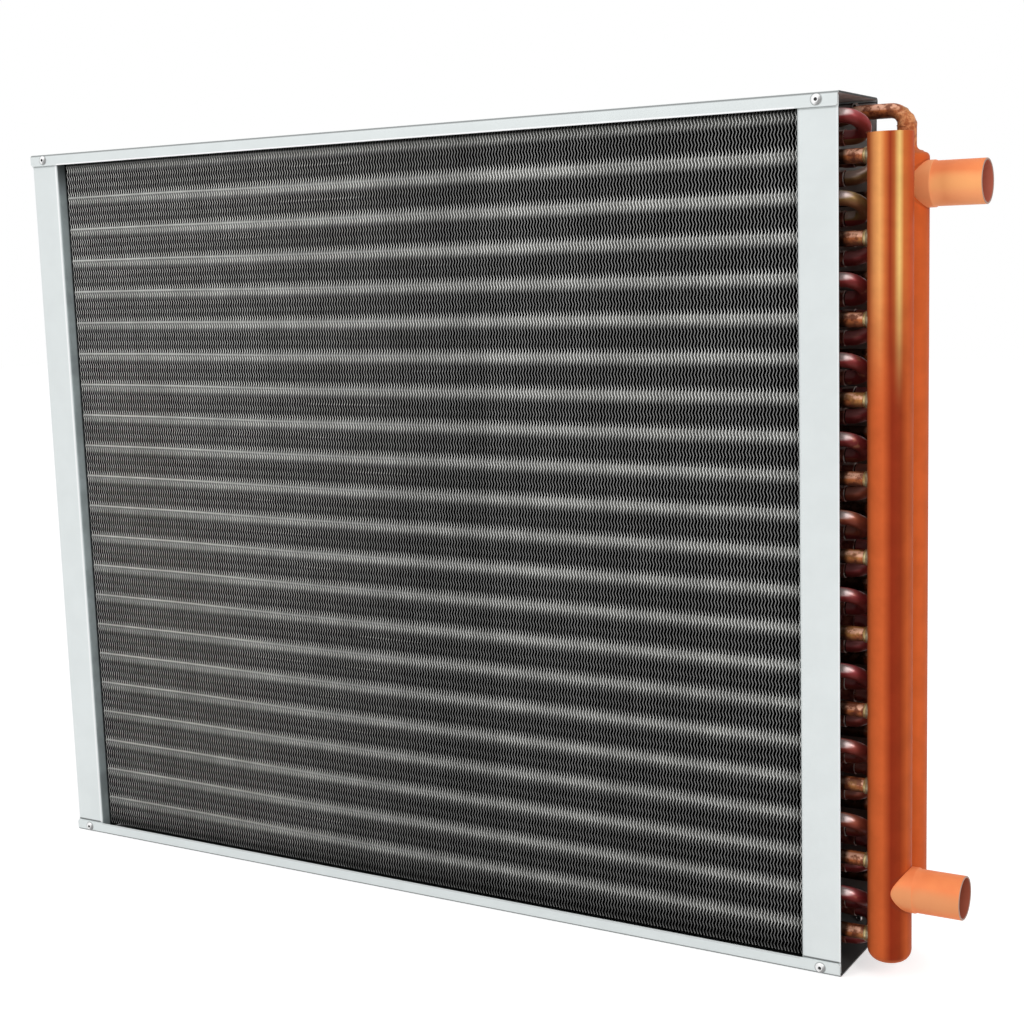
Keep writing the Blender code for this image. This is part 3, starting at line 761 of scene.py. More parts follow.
        # Painted reflections: lit and dark streaks by the direction the surface faces.
        turn = w.math("ARCTAN2", side_y, side_x) / (2 * pi) + 0.5
        painted_reflections = w.mix(w.smooth(w.z, 0.37, 0.48), w.ramp(turn, low_stops), w.ramp(turn, high_stops))
        colour = w.mix(w.smooth(abs(upright), 0.35, 0.8), painted_reflections, self.settings.headers.copper)
        cloud, speck, relief = w.mottle(60.0, 0.3)
        colour = w.scaled(colour, w.smooth(cloud, 0, 1, 0.93, 1.06))
        # Painted shade: the header's wall seen inside the port's bore is near black.
        inside, _, radius = w.mouth(row, PORT_RADIUS - self.settings.headers.port_wall - 0.4 * MM)
        towards_port = w.smooth(w.x, HEADER_X[row] + 4 * MM, HEADER_X[row] + 7 * MM)
        colour = w.mix(inside * towards_port, colour, (0.012, 0.006, 0.005))
        # Painted shade in a band round the port's root.
        root_shade = w.band(radius, PORT_RADIUS + 0.9 * MM, 0.6 * MM, 0.5 * MM) * towards_port
        colour = w.mix(root_shade * 0.3, colour, (0.16, 0.04, 0.02))
        if row == REAR:
            rough = self.crust(w, (0.34, 0.095, 0.035), (0.72, 0.30, 0.13), (0.10, 0.03, 0.02), 0.6)[0]
            neck = w.smooth(w.z, REAR_SHOULDER_Z + 2.5 * MM, REAR_SHOULDER_Z + 8 * MM, 0.0, 0.9)
            colour = w.mix(neck, colour, rough)
        roughness = w.smooth(speck, 0, 1, 0.48, 0.58)
        return w.finish(colour, roughness, 0.08, 0.04, (relief, 0.05, 0.0005))

    def front_header(self):
        # Painted reflections: the colours of the lit and dark streaks round the front header, brighter in its
        # upper part.
        ends = [(0.56, (0.42, 0.08, 0.024)), (0.98, (0.38, 0.08, 0.024))]
        high = [
            (0.03, (0.36, 0.075, 0.022)), (0.12, (0.38, 0.085, 0.025)), (0.175, (0.66, 0.25, 0.08)),
            (0.225, (0.80, 0.36, 0.115)), (0.265, (0.56, 0.14, 0.035)), (0.297, (0.30, 0.036, 0.012)),
            (0.325, (0.42, 0.10, 0.025)), (0.362, (0.82, 0.53, 0.18)), (0.395, (0.58, 0.15, 0.035)),
            (0.46, (0.56, 0.09, 0.022)), ends[0], (0.75, (0.66, 0.22, 0.07)), ends[1],
        ]
        low = [
            (0.03, (0.36, 0.075, 0.022)), (0.09, (0.36, 0.075, 0.022)), (0.148, (0.57, 0.112, 0.029)),
            (0.248, (0.58, 0.112, 0.029)), (0.310, (0.265, 0.028, 0.008)), (0.375, (0.285, 0.038, 0.010)),
            (0.435, (0.52, 0.100, 0.023)), ends[0], (0.75, (0.55, 0.14, 0.04)), ends[1],
        ]
        return self.header_copper("front_header_copper", FRONT, high, low)

    def rear_header(self):
        # Painted reflections: the colours of the streaks round the rear header.
        stops = [
            (0.03, (0.40, 0.080, 0.022)), (0.20, (0.50, 0.090, 0.022)), (0.30, (0.58, 0.115, 0.026)),
            (0.40, (0.66, 0.125, 0.028)), (0.50, (0.57, 0.110, 0.026)), (0.60, (0.42, 0.080, 0.024)),
            (0.75, (0.58, 0.150, 0.045)), (0.98, (0.40, 0.080, 0.024)),
        ]
        return self.header_copper("rear_header_copper", REAR, stops, stops)

    def port_copper(self, name, row):
        """Water ports: lighter copper with painted highlights, brown inside with painted shade deeper in, and
        a pale cut rim.
        """
        headers = self.settings.headers
        w = self.start(name)
        cloud, _, relief = w.mottle(70.0, 0.3)
        colour = w.mix(cloud, headers.port_copper, (0.94, 0.29, 0.10))
        # Painted highlight where the ports face the front, yellower on the upper port.
        shine = (0.96, 0.45, 0.17) if row == REAR else (0.78, 0.32, 0.135)
        colour = w.mix(w.facing((0.0, -0.98, -0.1), 0.75, 1.0) * 0.85, colour, shine)
        if row == REAR:
            # Painted light on the upper port's underside, and its root painted lighter against the front
            # header's shadow.
            colour = w.mix(w.facing((0.0, -0.5, -0.87), 0.6, 0.95) * 0.9, colour, (0.98, 0.40, 0.17))
            root_x = HEADER_X[row] + HEADER_RADIUS + FLARE_LENGTH
            past_root = w.smooth(w.x, root_x, root_x + FLARE_STEP)
            colour = w.mix(past_root, (0.99, 0.41, 0.17), colour)
        inside, rim, _ = w.mouth(row, PORT_RADIUS - headers.port_wall)
        # Painted shade inside the bore, darker towards the header; the upper port's inside is painted lighter
        # than the lower one's.
        inner = (0.50, 0.13, 0.08) if row == REAR else (0.36, 0.085, 0.045)
        brown = w.scaled(inner, w.smooth(w.x, PORT_END_X - 32 * MM, PORT_END_X, 0.08, 1.0))
        colour = w.mix(rim, w.mix(inside, colour, brown), (0.40, 0.26, 0.21))
        return w.finish(colour, 0.5, 0.12, 0.15, (relief, 0.05, 0.0005))

    def lower_port(self):
        return self.port_copper("lower_port_copper", FRONT)

    def upper_port(self):
        return self.port_copper("upper_port_copper", REAR)

    def rivet_metal(self):
        """Blind rivets: white aluminium, with painted shade on one side of the head and in the stem hole."""
        w = self.start("rivet_metal")
        cloud, _, relief = w.mottle(300.0, 0.2)
        # Painted shade on the lower right of each head, and the stem hole painted near black.
        colour = w.mix(w.facing((0.8, -0.2, -0.5), 0.2, 0.6) * 0.85, w.mix(cloud, 0.88, 0.97), 0.16)
        stem = w.smooth(self.from_rivet(w), 0.95 * MM, 1.25 * MM, 1, 0)
        return w.finish(w.mix(stem, colour, 0.008), 0.4, 0.2, bump=(relief, 0.1, 0.0003))

    def tail_steel(self):
        """Tails of the rivets inside the rear flanges: dark, with a painted highlight on one side."""
        w = self.start("tail_steel")
        cloud, _, relief = w.mottle(300.0, 0.2)
        colour = w.mix(cloud, (0.05, 0.052, 0.05), (0.13, 0.13, 0.125))
        # Painted highlight on one side.
        colour = w.mix(w.facing((0.62, -0.62, -0.1), 0.86, 0.97), colour, (0.92, 0.92, 0.90))
        return w.finish(colour, 0.35, 0.4, bump=(relief, 0.1, 0.0003))

    def get(self, name):
        """A finish by name, made the first time it is asked for."""
        if name not in self.made:
            self.made[name] = getattr(self, name)()
        return self.made[name]


workshop = {}


def finishes(context):
    """The finishes of the coil, made once."""
    if "finishes" not in workshop:
        workshop["finishes"] = Finishes(context.scene.coil)
    return workshop["finishes"]


# Shapes

def polygon(radius, sides):
    step = 2 * pi / sides
    return [(radius * cos(i * step), radius * sin(i * step)) for i in range(sides)]


def bridge(bm, first, second):
    """Faces between two rings of as many vertices."""
    for i in range(len(first)):
        j = (i + 1) % len(first)
        bm.faces.new((first[i], first[j], second[j], second[i]))


def skin(bm, rings, closed=False):
    """Joins rings of vertices into a surface, and caps its two ends unless it closes on itself."""
    pairs = list(zip(rings, rings[1:]))
    if closed:
        pairs.append((rings[-1], rings[0]))
    for first, second in pairs:
        bridge(bm, first, second)
    if not closed:
        bm.faces.new(reversed(rings[0]))
        bm.faces.new(rings[-1])


def upright_rings(bm, profile, sides):
    """Rings of vertices round Z, one for each (radius, height) point."""
    return [[bm.verts.new((x, y, height)) for x, y in polygon(radius, sides)] for radius, height in profile]


def turned(profile, sides):
    """A profile of (radius, height) points turned about Z; it starts and ends on the axis."""
    bm = bmesh.new()
    first = bm.verts.new((0, 0, profile[0][1]))
    last = bm.verts.new((0, 0, profile[-1][1]))
    rings = upright_rings(bm, profile[1:-1], sides)
    for ring, next_ring in zip(rings, rings[1:]):
        bridge(bm, ring, next_ring)
    for i in range(sides):
        j = (i + 1) % sides
        bm.faces.new((first, rings[0][j], rings[0][i]))
        bm.faces.new((last, rings[-1][i], rings[-1][j]))
    return bm


def turned_ring(profile, sides):
    """A closed profile of (radius, height) points turned about Z into a ring."""
    bm = bmesh.new()
    skin(bm, upright_rings(bm, profile, sides), closed=True)
    return bm


def quarter_turn(bm, axis):
    """Turns a piece made about Z: about Y to lie along X, about X to face the front."""
    bmesh.ops.rotate(bm, verts=bm.verts, matrix=Matrix.Rotation(pi / 2, 3, axis))
    return bm


class TubePath:
    """The centre line of a bent tube, drawn as a tube bender makes it: straight runs and turns."""

    def __init__(self, start, heading):
        heading = Vector(heading)
        side = heading.orthogonal().normalized()
        self.position = Vector(start)
        self.frame = Matrix((heading, side, heading.cross(side))).transposed()
        self.stations = [(self.position.copy(), self.frame.copy())]

    def add_station(self):
        self.stations.append((self.position.copy(), self.frame.copy()))

    def run(self, length):
        self.position = self.position + self.frame.col[0] * length
        self.add_station()

    def run_to_x(self, x):
        self.run(abs(x - self.position.x))

    def turn(self, towards, angle, radius, steps):
        towards = Vector(towards).normalized()
        axis = self.frame.col[0].cross(towards)
        centre = self.position + towards * radius
        arm = self.position - centre
        start_frame = self.frame.copy()
        for i in range(1, steps + 1):
            turn = Matrix.Rotation(angle * i / steps, 3, axis)
            self.position = centre + turn @ arm
            self.frame = turn @ start_frame
            self.add_station()

    def add_to(self, bm, radius, sides):
        """Adds the tube to a bmesh, closed at both ends."""
        rings = []
        for position, frame in self.stations:
            corners = [position + frame @ Vector((0, u, v)) for u, v in polygon(radius, sides)]
            rings.append([bm.verts.new(corner) for corner in corners])
        skin(bm, rings)


def add_object(name, data):
    obj = bpy.data.objects.new(name, data)
    bpy.context.scene.collection.objects.link(obj)
    return obj


def add_piece(name, bm, materials, smooth=40):
    """Puts a finished bmesh into the scene as a named piece; edges sharper than smooth degrees stay sharp."""
    bmesh.ops.recalc_face_normals(bm, faces=bm.faces)
    mesh = bpy.data.meshes.new(name)
    bm.to_mesh(mesh)
    bm.free()
    for material in materials:
        mesh.materials.append(material)
    if smooth:
        mesh.shade_smooth()
        mesh.set_sharp_from_angle(angle=radians(smooth))
    return add_object(name, mesh)


def settle(obj, slot, *nodes):
    """Makes a piece ride on the coil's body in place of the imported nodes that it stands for."""
    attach(obj, BODY)
    if nodes:
        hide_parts(*nodes)
    return obj


# Geometry node trees

def socket_of(tree, name):
    """Identifier of a tree's input."""
    for item in tree.interface.items_tree:
        if item.item_type == "SOCKET" and item.in_out == "INPUT" and item.name == name:
            return item.identifier
    raise KeyError(name)


def realised(name, source, tree, inputs):
    """Runs a geometry tree on a source mesh object and keeps the result as a plain piece."""
    modifier = source.modifiers.new(tree.name, "NODES")
    modifier.node_group = tree
    for label, value in inputs.items():
        modifier[socket_of(tree, label)] = value
    bpy.context.view_layer.update()
    depsgraph = bpy.context.evaluated_depsgraph_get()
    mesh = bpy.data.meshes.new_from_object(source.evaluated_get(depsgraph), depsgraph=depsgraph)
    source.modifiers.remove(modifier)
    mesh.name = name
    bpy.data.objects.remove(source)
    return add_object(name, mesh)


def points_object(places, turns=None):
    """A mesh of loose points, with the turn of the piece at each about Z."""
    mesh = bpy.data.meshes.new("places")
    mesh.from_pydata([tuple(place) for place in places], [], [])
    turn = mesh.attributes.new("turn", "FLOAT", "POINT")
    turn.data.foreach_set("value", turns or [0.0] * len(places))
    return add_object("places", mesh)


def finish_tree(w, instances, start, end):
    """Makes the instances real and gives them their finish."""
    real = w.wire("GeometryNodeRealizeInstances", {"Geometry": instances})
    finished = w.wire("GeometryNodeSetMaterial", {"Geometry": real, "Material": start["Finish"]})
    w.feed(end["Geometry"], finished)


def repeat_tree():
    """One piece at every point, turned about Z by the point's own turn, with a little uneven size."""
    inputs = {"Geometry": "Geometry", "Piece": "Object", "Unevenness": 0.0, "Seed": 1, "Finish": "Material"}
    outputs = {"Geometry": "Geometry"}
    tree, w, start, end = new_group("Piece At Each Place", "GeometryNodeTree", inputs, outputs)
    tree.is_modifier = True
    turn = w.wire("GeometryNodeInputNamedAttribute", {"Name": "turn"}, "Attribute", data_type="FLOAT")
    size = w.random(1.0 - start["Unevenness"], 1.0 + start["Unevenness"], start["Seed"])
    placed = w.wire("GeometryNodeInstanceOnPoints", {
        "Points": start["Geometry"],
        "Instance": w.wire("GeometryNodeObjectInfo", {"Object": start["Piece"]}, "Geometry"),
        "Rotation": w.vector(z=turn),
        "Scale": w.vector(1.0, size, size),
    })
    finish_tree(w, placed, start, end)
    return tree


def fin_tree():
    """A stack of corrugated fins along X, each a thin upright sheet with waves."""
    inputs = {
        "Count": 100, "First X": 0.0, "Pitch": 0.0024, "Thickness": 0.0002, "Depth": 0.057, "Height": 0.559,
        "Foot Z": 0.0, "Wave": 0.0004, "Wave Length": 0.00635, "Steps": 177, "Unevenness": 0.0, "Seed": 1,
        "Finish": "Material",
    }
    tree, w, start, end = new_group("Fin Stack", "GeometryNodeTree", inputs, {"Geometry": "Geometry"})
    tree.is_modifier = True
    sheet = w.wire("GeometryNodeMeshCube", {
        "Size": w.vector(start["Thickness"], start["Depth"], start["Height"]),
        "Vertices X": 2, "Vertices Y": 2, "Vertices Z": start["Steps"],
    }, "Mesh")
    above_foot = w.parts(w.wire("GeometryNodeInputPosition"))[2] + start["Height"] / 2.0
    swing = w.math("PINGPONG", above_foot, start["Wave Length"] / 2.0)
    level = swing / (start["Wave Length"] / 4.0) - 1.0
    offset = w.vector(level * (start["Wave"] * -1.0), 0.0, start["Foot Z"] + start["Height"] / 2.0)
    waved = w.wire("GeometryNodeSetPosition", {"Geometry": sheet, "Offset": offset})
    line = w.wire("GeometryNodeMeshLine", {
        "Count": start["Count"], "Start Location": w.vector(start["First X"]),
        "Offset": w.vector(start["Pitch"]),
    })
    astray = w.random(start["Unevenness"] * -1.0, start["Unevenness"], start["Seed"])
    uneven = w.wire("GeometryNodeSetPosition", {"Geometry": line, "Offset": w.vector(astray)})
    stack = w.wire("GeometryNodeInstanceOnPoints", {"Points": uneven, "Instance": waved})
    finish_tree(w, stack, start, end)
    return tree


def tree_named(name, maker):
    """A geometry tree by name, made the first time it is asked for."""
    if name not in workshop:
        workshop[name] = maker()
    return workshop[name]


def repeated(name, bm, places, material, turns=None, unevenness=0.0, seed=1, smooth=40):
    """Copies of one small piece at many places, as one plain mesh."""
    pattern = add_piece("pattern", bm, [], smooth=smooth)
    tree = tree_named("repeat_tree", repeat_tree)
    inputs = {"Piece": pattern, "Unevenness": unevenness, "Seed": seed, "Finish": material}
    obj = realised(name, points_object(places, turns), tree, inputs)
    bpy.data.objects.remove(pattern)
    return obj


# Casing

def fold_points(centre, inner_radius, start_angle, turn, steps):
    """Inner and outer points of a sheet's fold about a centre, in degrees."""
    angles = [radians(start_angle + turn * i / steps) for i in range(steps + 1)]
    outer_radius = inner_radius + SHEET
    inner = [(centre[0] + inner_radius * cos(a), centre[1] + inner_radius * sin(a)) for a in angles]
    outer = [(centre[0] + outer_radius * cos(a), centre[1] + outer_radius * sin(a)) for a in angles]
    return inner, outer


def channel_section(width, leg, steps):
    """Section of a folded channel: the web lies along u at v = 0, and both legs rise to v = leg."""
    outer_radius = FOLD + SHEET
    centre = (width / 2 - outer_radius, outer_radius)
    inner, outer = fold_points(centre, FOLD, -90, 90, steps)
    ease = SHEET * 0.22
    outside = outer + [(width / 2, leg - ease), (width / 2 - ease, leg)]
    inside = inner + [(width / 2 - SHEET, leg - ease), (width / 2 - SHEET + ease, leg)]
    right = outside + inside[::-1]
    left = [(-u, v) for u, v in right]
    return right + left[::-1]


def corner_drop(distance, radius):
    """How much lower a rounded corner is, at a distance from the end."""
    if distance >= radius:
        return 0.0
    return radius - sqrt(radius**2 - (radius - distance) ** 2)


def add_channel(name, width, leg, start, end, place, settings, material, corner):
    """A channel drawn along its length, with its legs' corners rounded at both ends."""
    section = channel_section(width, leg, settings.fold_steps)
    near = [0.0]
    if corner:
        near = [corner * (1 - cos(radians(90 * i / CORNER_STEPS))) for i in range(CORNER_STEPS + 1)]
    stations = [(start + d, d) for d in near] + [(end - d, d) for d in reversed(near)]
    bm = bmesh.new()
    rings = []
    for along, distance in stations:
        drop = corner_drop(distance, corner) if corner else 0.0
        lowered = [(u, v - drop if v > leg - SHEET * 0.3 else v) for u, v in section]
        rings.append([bm.verts.new(place(u, v, along)) for u, v in lowered])
    skin(bm, rings)
    return add_piece(name, bm, [material], smooth=35)


class COIL_OT_casing(Operator):
    """Builds the top and bottom plates and both tube sheets"""

    bl_idname = "coil.casing"
    bl_label = "Casing"

    def execute(self, context):
        settings = context.scene.coil.casing
        steel = finishes(context).get("steel")
        corner = settings.corner_radius
        plates = {
            "lower_plate": ("bottom_plate", lambda u, v, x: (x, u, v)),
            "upper_plate": ("top_plate", lambda u, v, x: (x, u, HEIGHT - v)),
        }
        for name, (node, place) in plates.items():
            plate = add_channel(
                name, 2 * HALF_DEPTH, LIP_HEIGHT, -HALF_WIDTH, HALF_WIDTH, place, settings, steel, corner
            )
            settle(plate, "galvanised_steel", node)
        sheets = {
            "tube_sheet_left": ("left_tube_sheet", lambda u, v, z: (-WEB_INNER_X - v, u, z)),
            "tube_sheet_right": ("right_tube_sheet", lambda u, v, z: (WEB_INNER_X + v, u, z)),
        }
        for name, (node, place) in sheets.items():
            sheet = add_channel(
                name, 2 * FLANGE_FACE_Y, HALF_WIDTH - WEB_INNER_X, SHEET_END_Z, HEIGHT - SHEET_END_Z,
                place, settings, steel, 0.0,
            )
            settle(sheet, "galvanised_steel", node)
        return {"FINISHED"}


class COIL_OT_fins(Operator):
    """Builds the stack of corrugated fins and their collars round the tubes"""

    bl_idname = "coil.fins"
    bl_label = "Fins"

    def execute(self, context):
        settings = context.scene.coil.fins
        metals = finishes(context)
        tree = tree_named("fin_tree", fin_tree)
        height = FINS_HIGH.z - FINS_LOW.z
        reach = FINS_HIGH.x - settings.end_gap - settings.wave
        count = int(2 * reach / settings.pitch) + 1
        first_x = -settings.pitch * (count - 1) / 2
        left_count = count // 2
        halves = {
            "fins_left": (left_count, first_x, ["fin_pack"]),
            "fins_right": (count - left_count, first_x + left_count * settings.pitch, []),
        }
        wave_length = TUBE_PITCH / settings.waves_per_tube
        for name, (number, start_x, nodes) in halves.items():
            fins = realised(name, add_object("fin_source", bpy.data.meshes.new(name)), tree, {
                "Count": number, "First X": start_x, "Pitch": settings.pitch,
                "Thickness": settings.thickness, "Depth": FINS_HIGH.y - FINS_LOW.y, "Height": height,
                "Foot Z": FINS_LOW.z - settings.foot_drop, "Wave": settings.wave, "Wave Length": wave_length,
                "Steps": round(height / wave_length * 2) + 1, "Unevenness": settings.unevenness,
                "Seed": settings.seed, "Finish": metals.get("fin_metal"),
            })
            settle(fins, "fin_aluminium", *nodes)

        length = 2 * (WEB_INNER_X - 0.05 * MM)
        radius = settings.collar_radius
        profile = [(0, -length / 2), (radius, -length / 2), (radius, length / 2), (0, length / 2)]
        places = [tube_place(0, row, index) for row, index in EVERY_TUBE]
        collar = quarter_turn(turned(profile, 16), "Y")
        settle(repeated("fin_collars", collar, places, metals.get("collar_aluminium")), "fin_aluminium")
        return {"FINISHED"}


# Tubes

def diagonal(direction):
    """Step from one tube row to the next behind it, and half a pitch up or down."""
    return Vector((0, ROW_PITCH, direction * TUBE_PITCH / 2))


def add_return_bend(path, direction, steps):
    path.run_to_x(RETURN_CENTRE_X)
    step = diagonal(direction)
    path.turn(step, pi, step.length / 2, steps)
    path.run_to_x(CUP_END_X - 3 * MM)


def hairpin_path(row, pair, steps):
    """Centre line of one hairpin, with the return bend or stub at its end."""
    lower, upper = 2 * pair + 1, 2 * pair
    first, rise = (upper, -1) if row == MIDDLE else (lower, 1)
    start_x = stub_end_x(FRONT) if row == FRONT else CUP_END_X - 3 * MM
    path = TubePath(tube_place(start_x, row, first), (-1, 0, 0))
    path.run_to_x(-HAIRPIN_START_X)
    path.turn((0, 0, rise), pi, TUBE_PITCH / 2, steps)
    if row != REAR:
        add_return_bend(path, -1 if row == FRONT else 1, steps)
    else:
        path.run_to_x(stub_end_x(REAR) if pair > 0 else WEB_OUTER_X + 3 * MM)
    return path


def feed_path(steps):
    """From the top leg of the rear row, a little up and then over into the neck of the rear header."""
    rise, angle, radius = 3.6 * MM, radians(16), 20 * MM
    path = TubePath(tube_place(WEB_OUTER_X + 1 * MM, REAR, 0), (1, 0, 0))
    path.run(3.5 * MM)
    path.turn((0, 0, 1), angle, radius, 4)
    path.run((rise - 2 * radius * (1 - cos(angle))) / sin(angle))
    path.turn(Vector((sin(angle), 0, -cos(angle))), angle, radius, 4)
    path.run_to_x(HEADER_X[REAR] - FEED_BEND)
    path.turn((0, 0, -1), pi / 2, FEED_BEND, steps)
    path.run(path.position.z - NECK_TOP_Z + 6 * MM)
    return path


class COIL_OT_tubes(Operator):
    """Builds the hairpins, their return bends and stubs, and the feed tube"""

    bl_idname = "coil.tubes"
    bl_label = "Tubes"

    def execute(self, context):
        settings = context.scene.coil.tubes
        metals = finishes(context)
        copper, stub = metals.get("bend_copper"), metals.get("stub_copper")
        for row, word in enumerate(ROWS):
            bm = bmesh.new()
            for pair in range(PAIRS):
                hairpin_path(row, pair, settings.bend_steps).add_to(bm, settings.radius, settings.sides)
            self.finish_stubs(bm, row)
            piece = add_piece(f"hairpins_{word}", bm, [copper, stub])
            nodes = [f"hairpin_{word}_{number + 1:02d}" for number in range(PAIRS)]
            settle(piece, "tube_copper", *nodes)

        bm = bmesh.new()
        feed_path(settings.bend_steps).add_to(bm, settings.radius, settings.sides)
        settle(add_piece("feed_pipe", bm, [metals.get("feed_copper")]), "tube_copper", "feed_tube")
        return {"FINISHED"}

    def finish_stubs(self, bm, row):
        """Gives the straight legs between a tube sheet and a header the finish of the stubs."""
        if row == MIDDLE:
            return
        first = 1 if row == FRONT else 2
        levels = [tube_z(row, index) for index in range(first, TUBES_HIGH, 2)]
        for face in bm.faces:
            centre = face.calc_center_median()
            near = min(abs(centre.z - level) for level in levels)
            on_leg = near < TUBE_PITCH / 4 and abs(centre.y - row_y(row)) < ROW_PITCH / 3
            if on_leg and max(vert.co.x for vert in face.verts) > CUP_END_X + 12 * MM:
                face.material_index = 1


# Joints

def ring_profile(points):
    """A ring's section as (radius, height) points."""
    return [(radius * MM, height * MM) for radius, height in points]


class COIL_OT_joints(Operator):
    """Builds the collars of the tube sheets, the belled cups and the rings of braze"""

    bl_idname = "coil.joints"
    bl_label = "Joints"

    def execute(self, context):
        settings = context.scene.coil.tubes
        metals = finishes(context)
        sides = settings.sides
        radius = settings.radius / MM

        profile = ring_profile([
            (radius - 0.3, 0.0), (radius + 2.2, -0.05), (radius + 1.3, 0.35), (radius + 0.85, 1.0),
            (radius + 0.75, 2.1), (radius + 0.45, 2.35), (radius - 0.3, 2.3),
        ])
        places = [tube_place(x, row, index) for x in (WEB_OUTER_X, -WEB_OUTER_X) for row, index in EVERY_TUBE]
        turns = [0.0] * len(EVERY_TUBE) + [pi] * len(EVERY_TUBE)
        collar = quarter_turn(turned_ring(profile, 20), "Y")
        collars = repeated("sheet_collars", collar, places, metals.get("collar_steel"), turns)
        settle(collars, "galvanised_steel")

        cup, length = settings.cup_radius / MM, settings.cup_length / MM
        profile = ring_profile([
            (radius - 0.3, -length), (radius + 0.1, -length), (cup - 0.1, -length + 1.6), (cup - 0.05, -0.6),
            (cup + 0.08, -0.35), (cup + 0.05, 0.0), (cup - 0.2, 0.12), (radius + 0.05, 0.2),
            (radius + 0.03, 0.9), (radius - 0.3, 0.9),
        ])
        joined = [(FRONT, index) for index in range(0, TUBES_HIGH, 2)]
        joined += [(MIDDLE, index) for index in range(TUBES_HIGH)]
        joined += [(REAR, index) for index in range(1, TUBES_HIGH, 2)]
        places = [tube_place(CUP_END_X, row, index) for row, index in joined]
        cup = quarter_turn(turned_ring(profile, sides), "Y")
        cups = repeated("tube_cups", cup, places, metals.get("cup_copper"), unevenness=0.02, seed=3)
        settle(cups, "tube_copper")

        profile = ring_profile([
            (radius - 0.3, -2.4), (radius + 0.05, -2.3), (radius + 0.4, -1.9), (radius + 0.5, -1.4),
            (radius + 0.15, -1.0), (radius + 0.55, -0.5), (radius + 1.1, 0.3), (radius + 1.6, 1.8),
            (radius - 0.3, 1.8),
        ])
        places = []
        for row, first in ((FRONT, 1), (REAR, 2)):
            wall = HEADER_X[row] - HEADER_RADIUS
            places += [tube_place(wall, row, index) for index in range(first, TUBES_HIGH, 2)]
        ring = quarter_turn(turned_ring(profile, sides), "Y")
        rings = repeated("braze_rings", ring, places, metals.get("braze"), unevenness=0.04, seed=5)
        settle(rings, "tube_copper")
        return {"FINISHED"}


# Headers

def closed_end(radius, bottom, corner, steps=8):
    """Profile of a closed lower end, from the axis round to the straight wall."""
    points = [(0, bottom)]
    for i in range(steps + 1):
        angle = radians(90 * i / steps)
        points.append((radius - corner + corner * sin(angle), bottom + corner * (1 - cos(angle))))
    return points


def front_profile(settings):
    radius, top = HEADER_RADIUS, HEADER_HIGH[FRONT].z
    wall = 1.5 * MM
    bore = radius - wall
    rim = [
        (radius, top - 0.5 * MM), (radius - 0.2 * MM, top - 0.1 * MM), (radius - 0.5 * MM, top),
        (bore + 0.2 * MM, top), (bore, top - 0.3 * MM), (bore - 0.3 * MM, top - 0.6 * MM),
        (0, top - 0.6 * MM),
    ]
    return closed_end(radius, HEADER_LOW[FRONT].z, settings.end_radius) + rim


def rear_profile(settings):
    """The rear header is spun in at its top to a shoulder and a neck."""
    radius, neck = HEADER_RADIUS, settings.neck_radius
    shoulder = REAR_SHOULDER_Z
    points = closed_end(radius, HEADER_LOW[REAR].z, settings.end_radius)
    points += [(radius, shoulder - 2.6 * MM)]
    for i in range(1, 7):
        angle = radians(90 * i / 6)
        points.append((radius - 3.0 * MM * (1 - cos(angle)), shoulder - 2.6 * MM + 3.4 * MM * sin(angle)))
    for i in range(0, 7):
        angle = radians(90 * i / 6)
        points.append((neck + 3.6 * MM * (1 - sin(angle)), shoulder + 2.0 * MM + 3.6 * MM * (1 - cos(angle))))
    points += [
        (neck, NECK_TOP_Z - 0.3 * MM), (neck - 0.2 * MM, NECK_TOP_Z), (neck - 1.2 * MM, NECK_TOP_Z),
        (0, NECK_TOP_Z),
    ]
    return points


def add_header(name, profile, row, sides, material):
    bm = turned(profile, sides)
    bmesh.ops.translate(bm, verts=bm.verts, vec=(HEADER_X[row], row_y(row), 0))
    return add_piece(name, bm, [material], smooth=32)


def saddle_x(row, y):
    """Where a header's surface lies at a depth from its axis."""
    return HEADER_X[row] + sqrt(max(HEADER_RADIUS**2 - y**2, 0.0))


def add_port(name, row, settings, material):
    """An open tube coped onto its header, with a small flare at the root."""
    outer, inner = PORT_RADIUS, PORT_RADIUS - settings.port_wall
    sides = settings.sides
    end = PORT_END_X
    y_mid, z_mid = row_y(row), PORT_Z[row]
    bm = bmesh.new()
    rings = []
    flare = outer + 0.65 * MM
    waist = 0.928 * HEADER_RADIUS
    for half_depth, past in ((waist, -0.6 * MM), (waist + 0.75 * MM, 0.7 * MM)):
        ring = []
        for u, v in polygon(1.0, sides):
            x = saddle_x(row, u * waist) + past
            ring.append(bm.verts.new((x, y_mid + u * half_depth, z_mid + v * flare)))
        rings.append(ring)
    collar_x = HEADER_X[row] + HEADER_RADIUS + FLARE_LENGTH
    root = rings[-1]
    for share in (0.06, 0.94):
        ring = []
        for vert, (u, v) in zip(root, polygon(1.0, sides)):
            far = Vector((collar_x, y_mid + u * flare, z_mid + v * flare))
            ring.append(bm.verts.new(vert.co.lerp(far, share)))
        rings.append(ring)
    straight = [
        (flare, collar_x), (outer + 0.5 * MM, collar_x + FLARE_STEP), (outer, collar_x + 1.1 * MM),
        (outer, end - 24 * MM), (outer, end - 0.35 * MM), (outer - 0.25 * MM, end), (inner + 0.25 * MM, end),
        (inner, end - 0.35 * MM), (inner, end - 12 * MM), (inner, end - 24 * MM),
    ]
    for radius, x in straight:
        rings.append([bm.verts.new((x, y_mid + y, z_mid + z)) for y, z in polygon(radius, sides)])
    ring = []
    for y, z in polygon(inner, sides):
        ring.append(bm.verts.new((saddle_x(row, y * 0.97) - 0.6 * MM, y_mid + y, z_mid + z)))
    rings.append(ring)
    skin(bm, rings, closed=True)
    return add_piece(name, bm, [material], smooth=40)


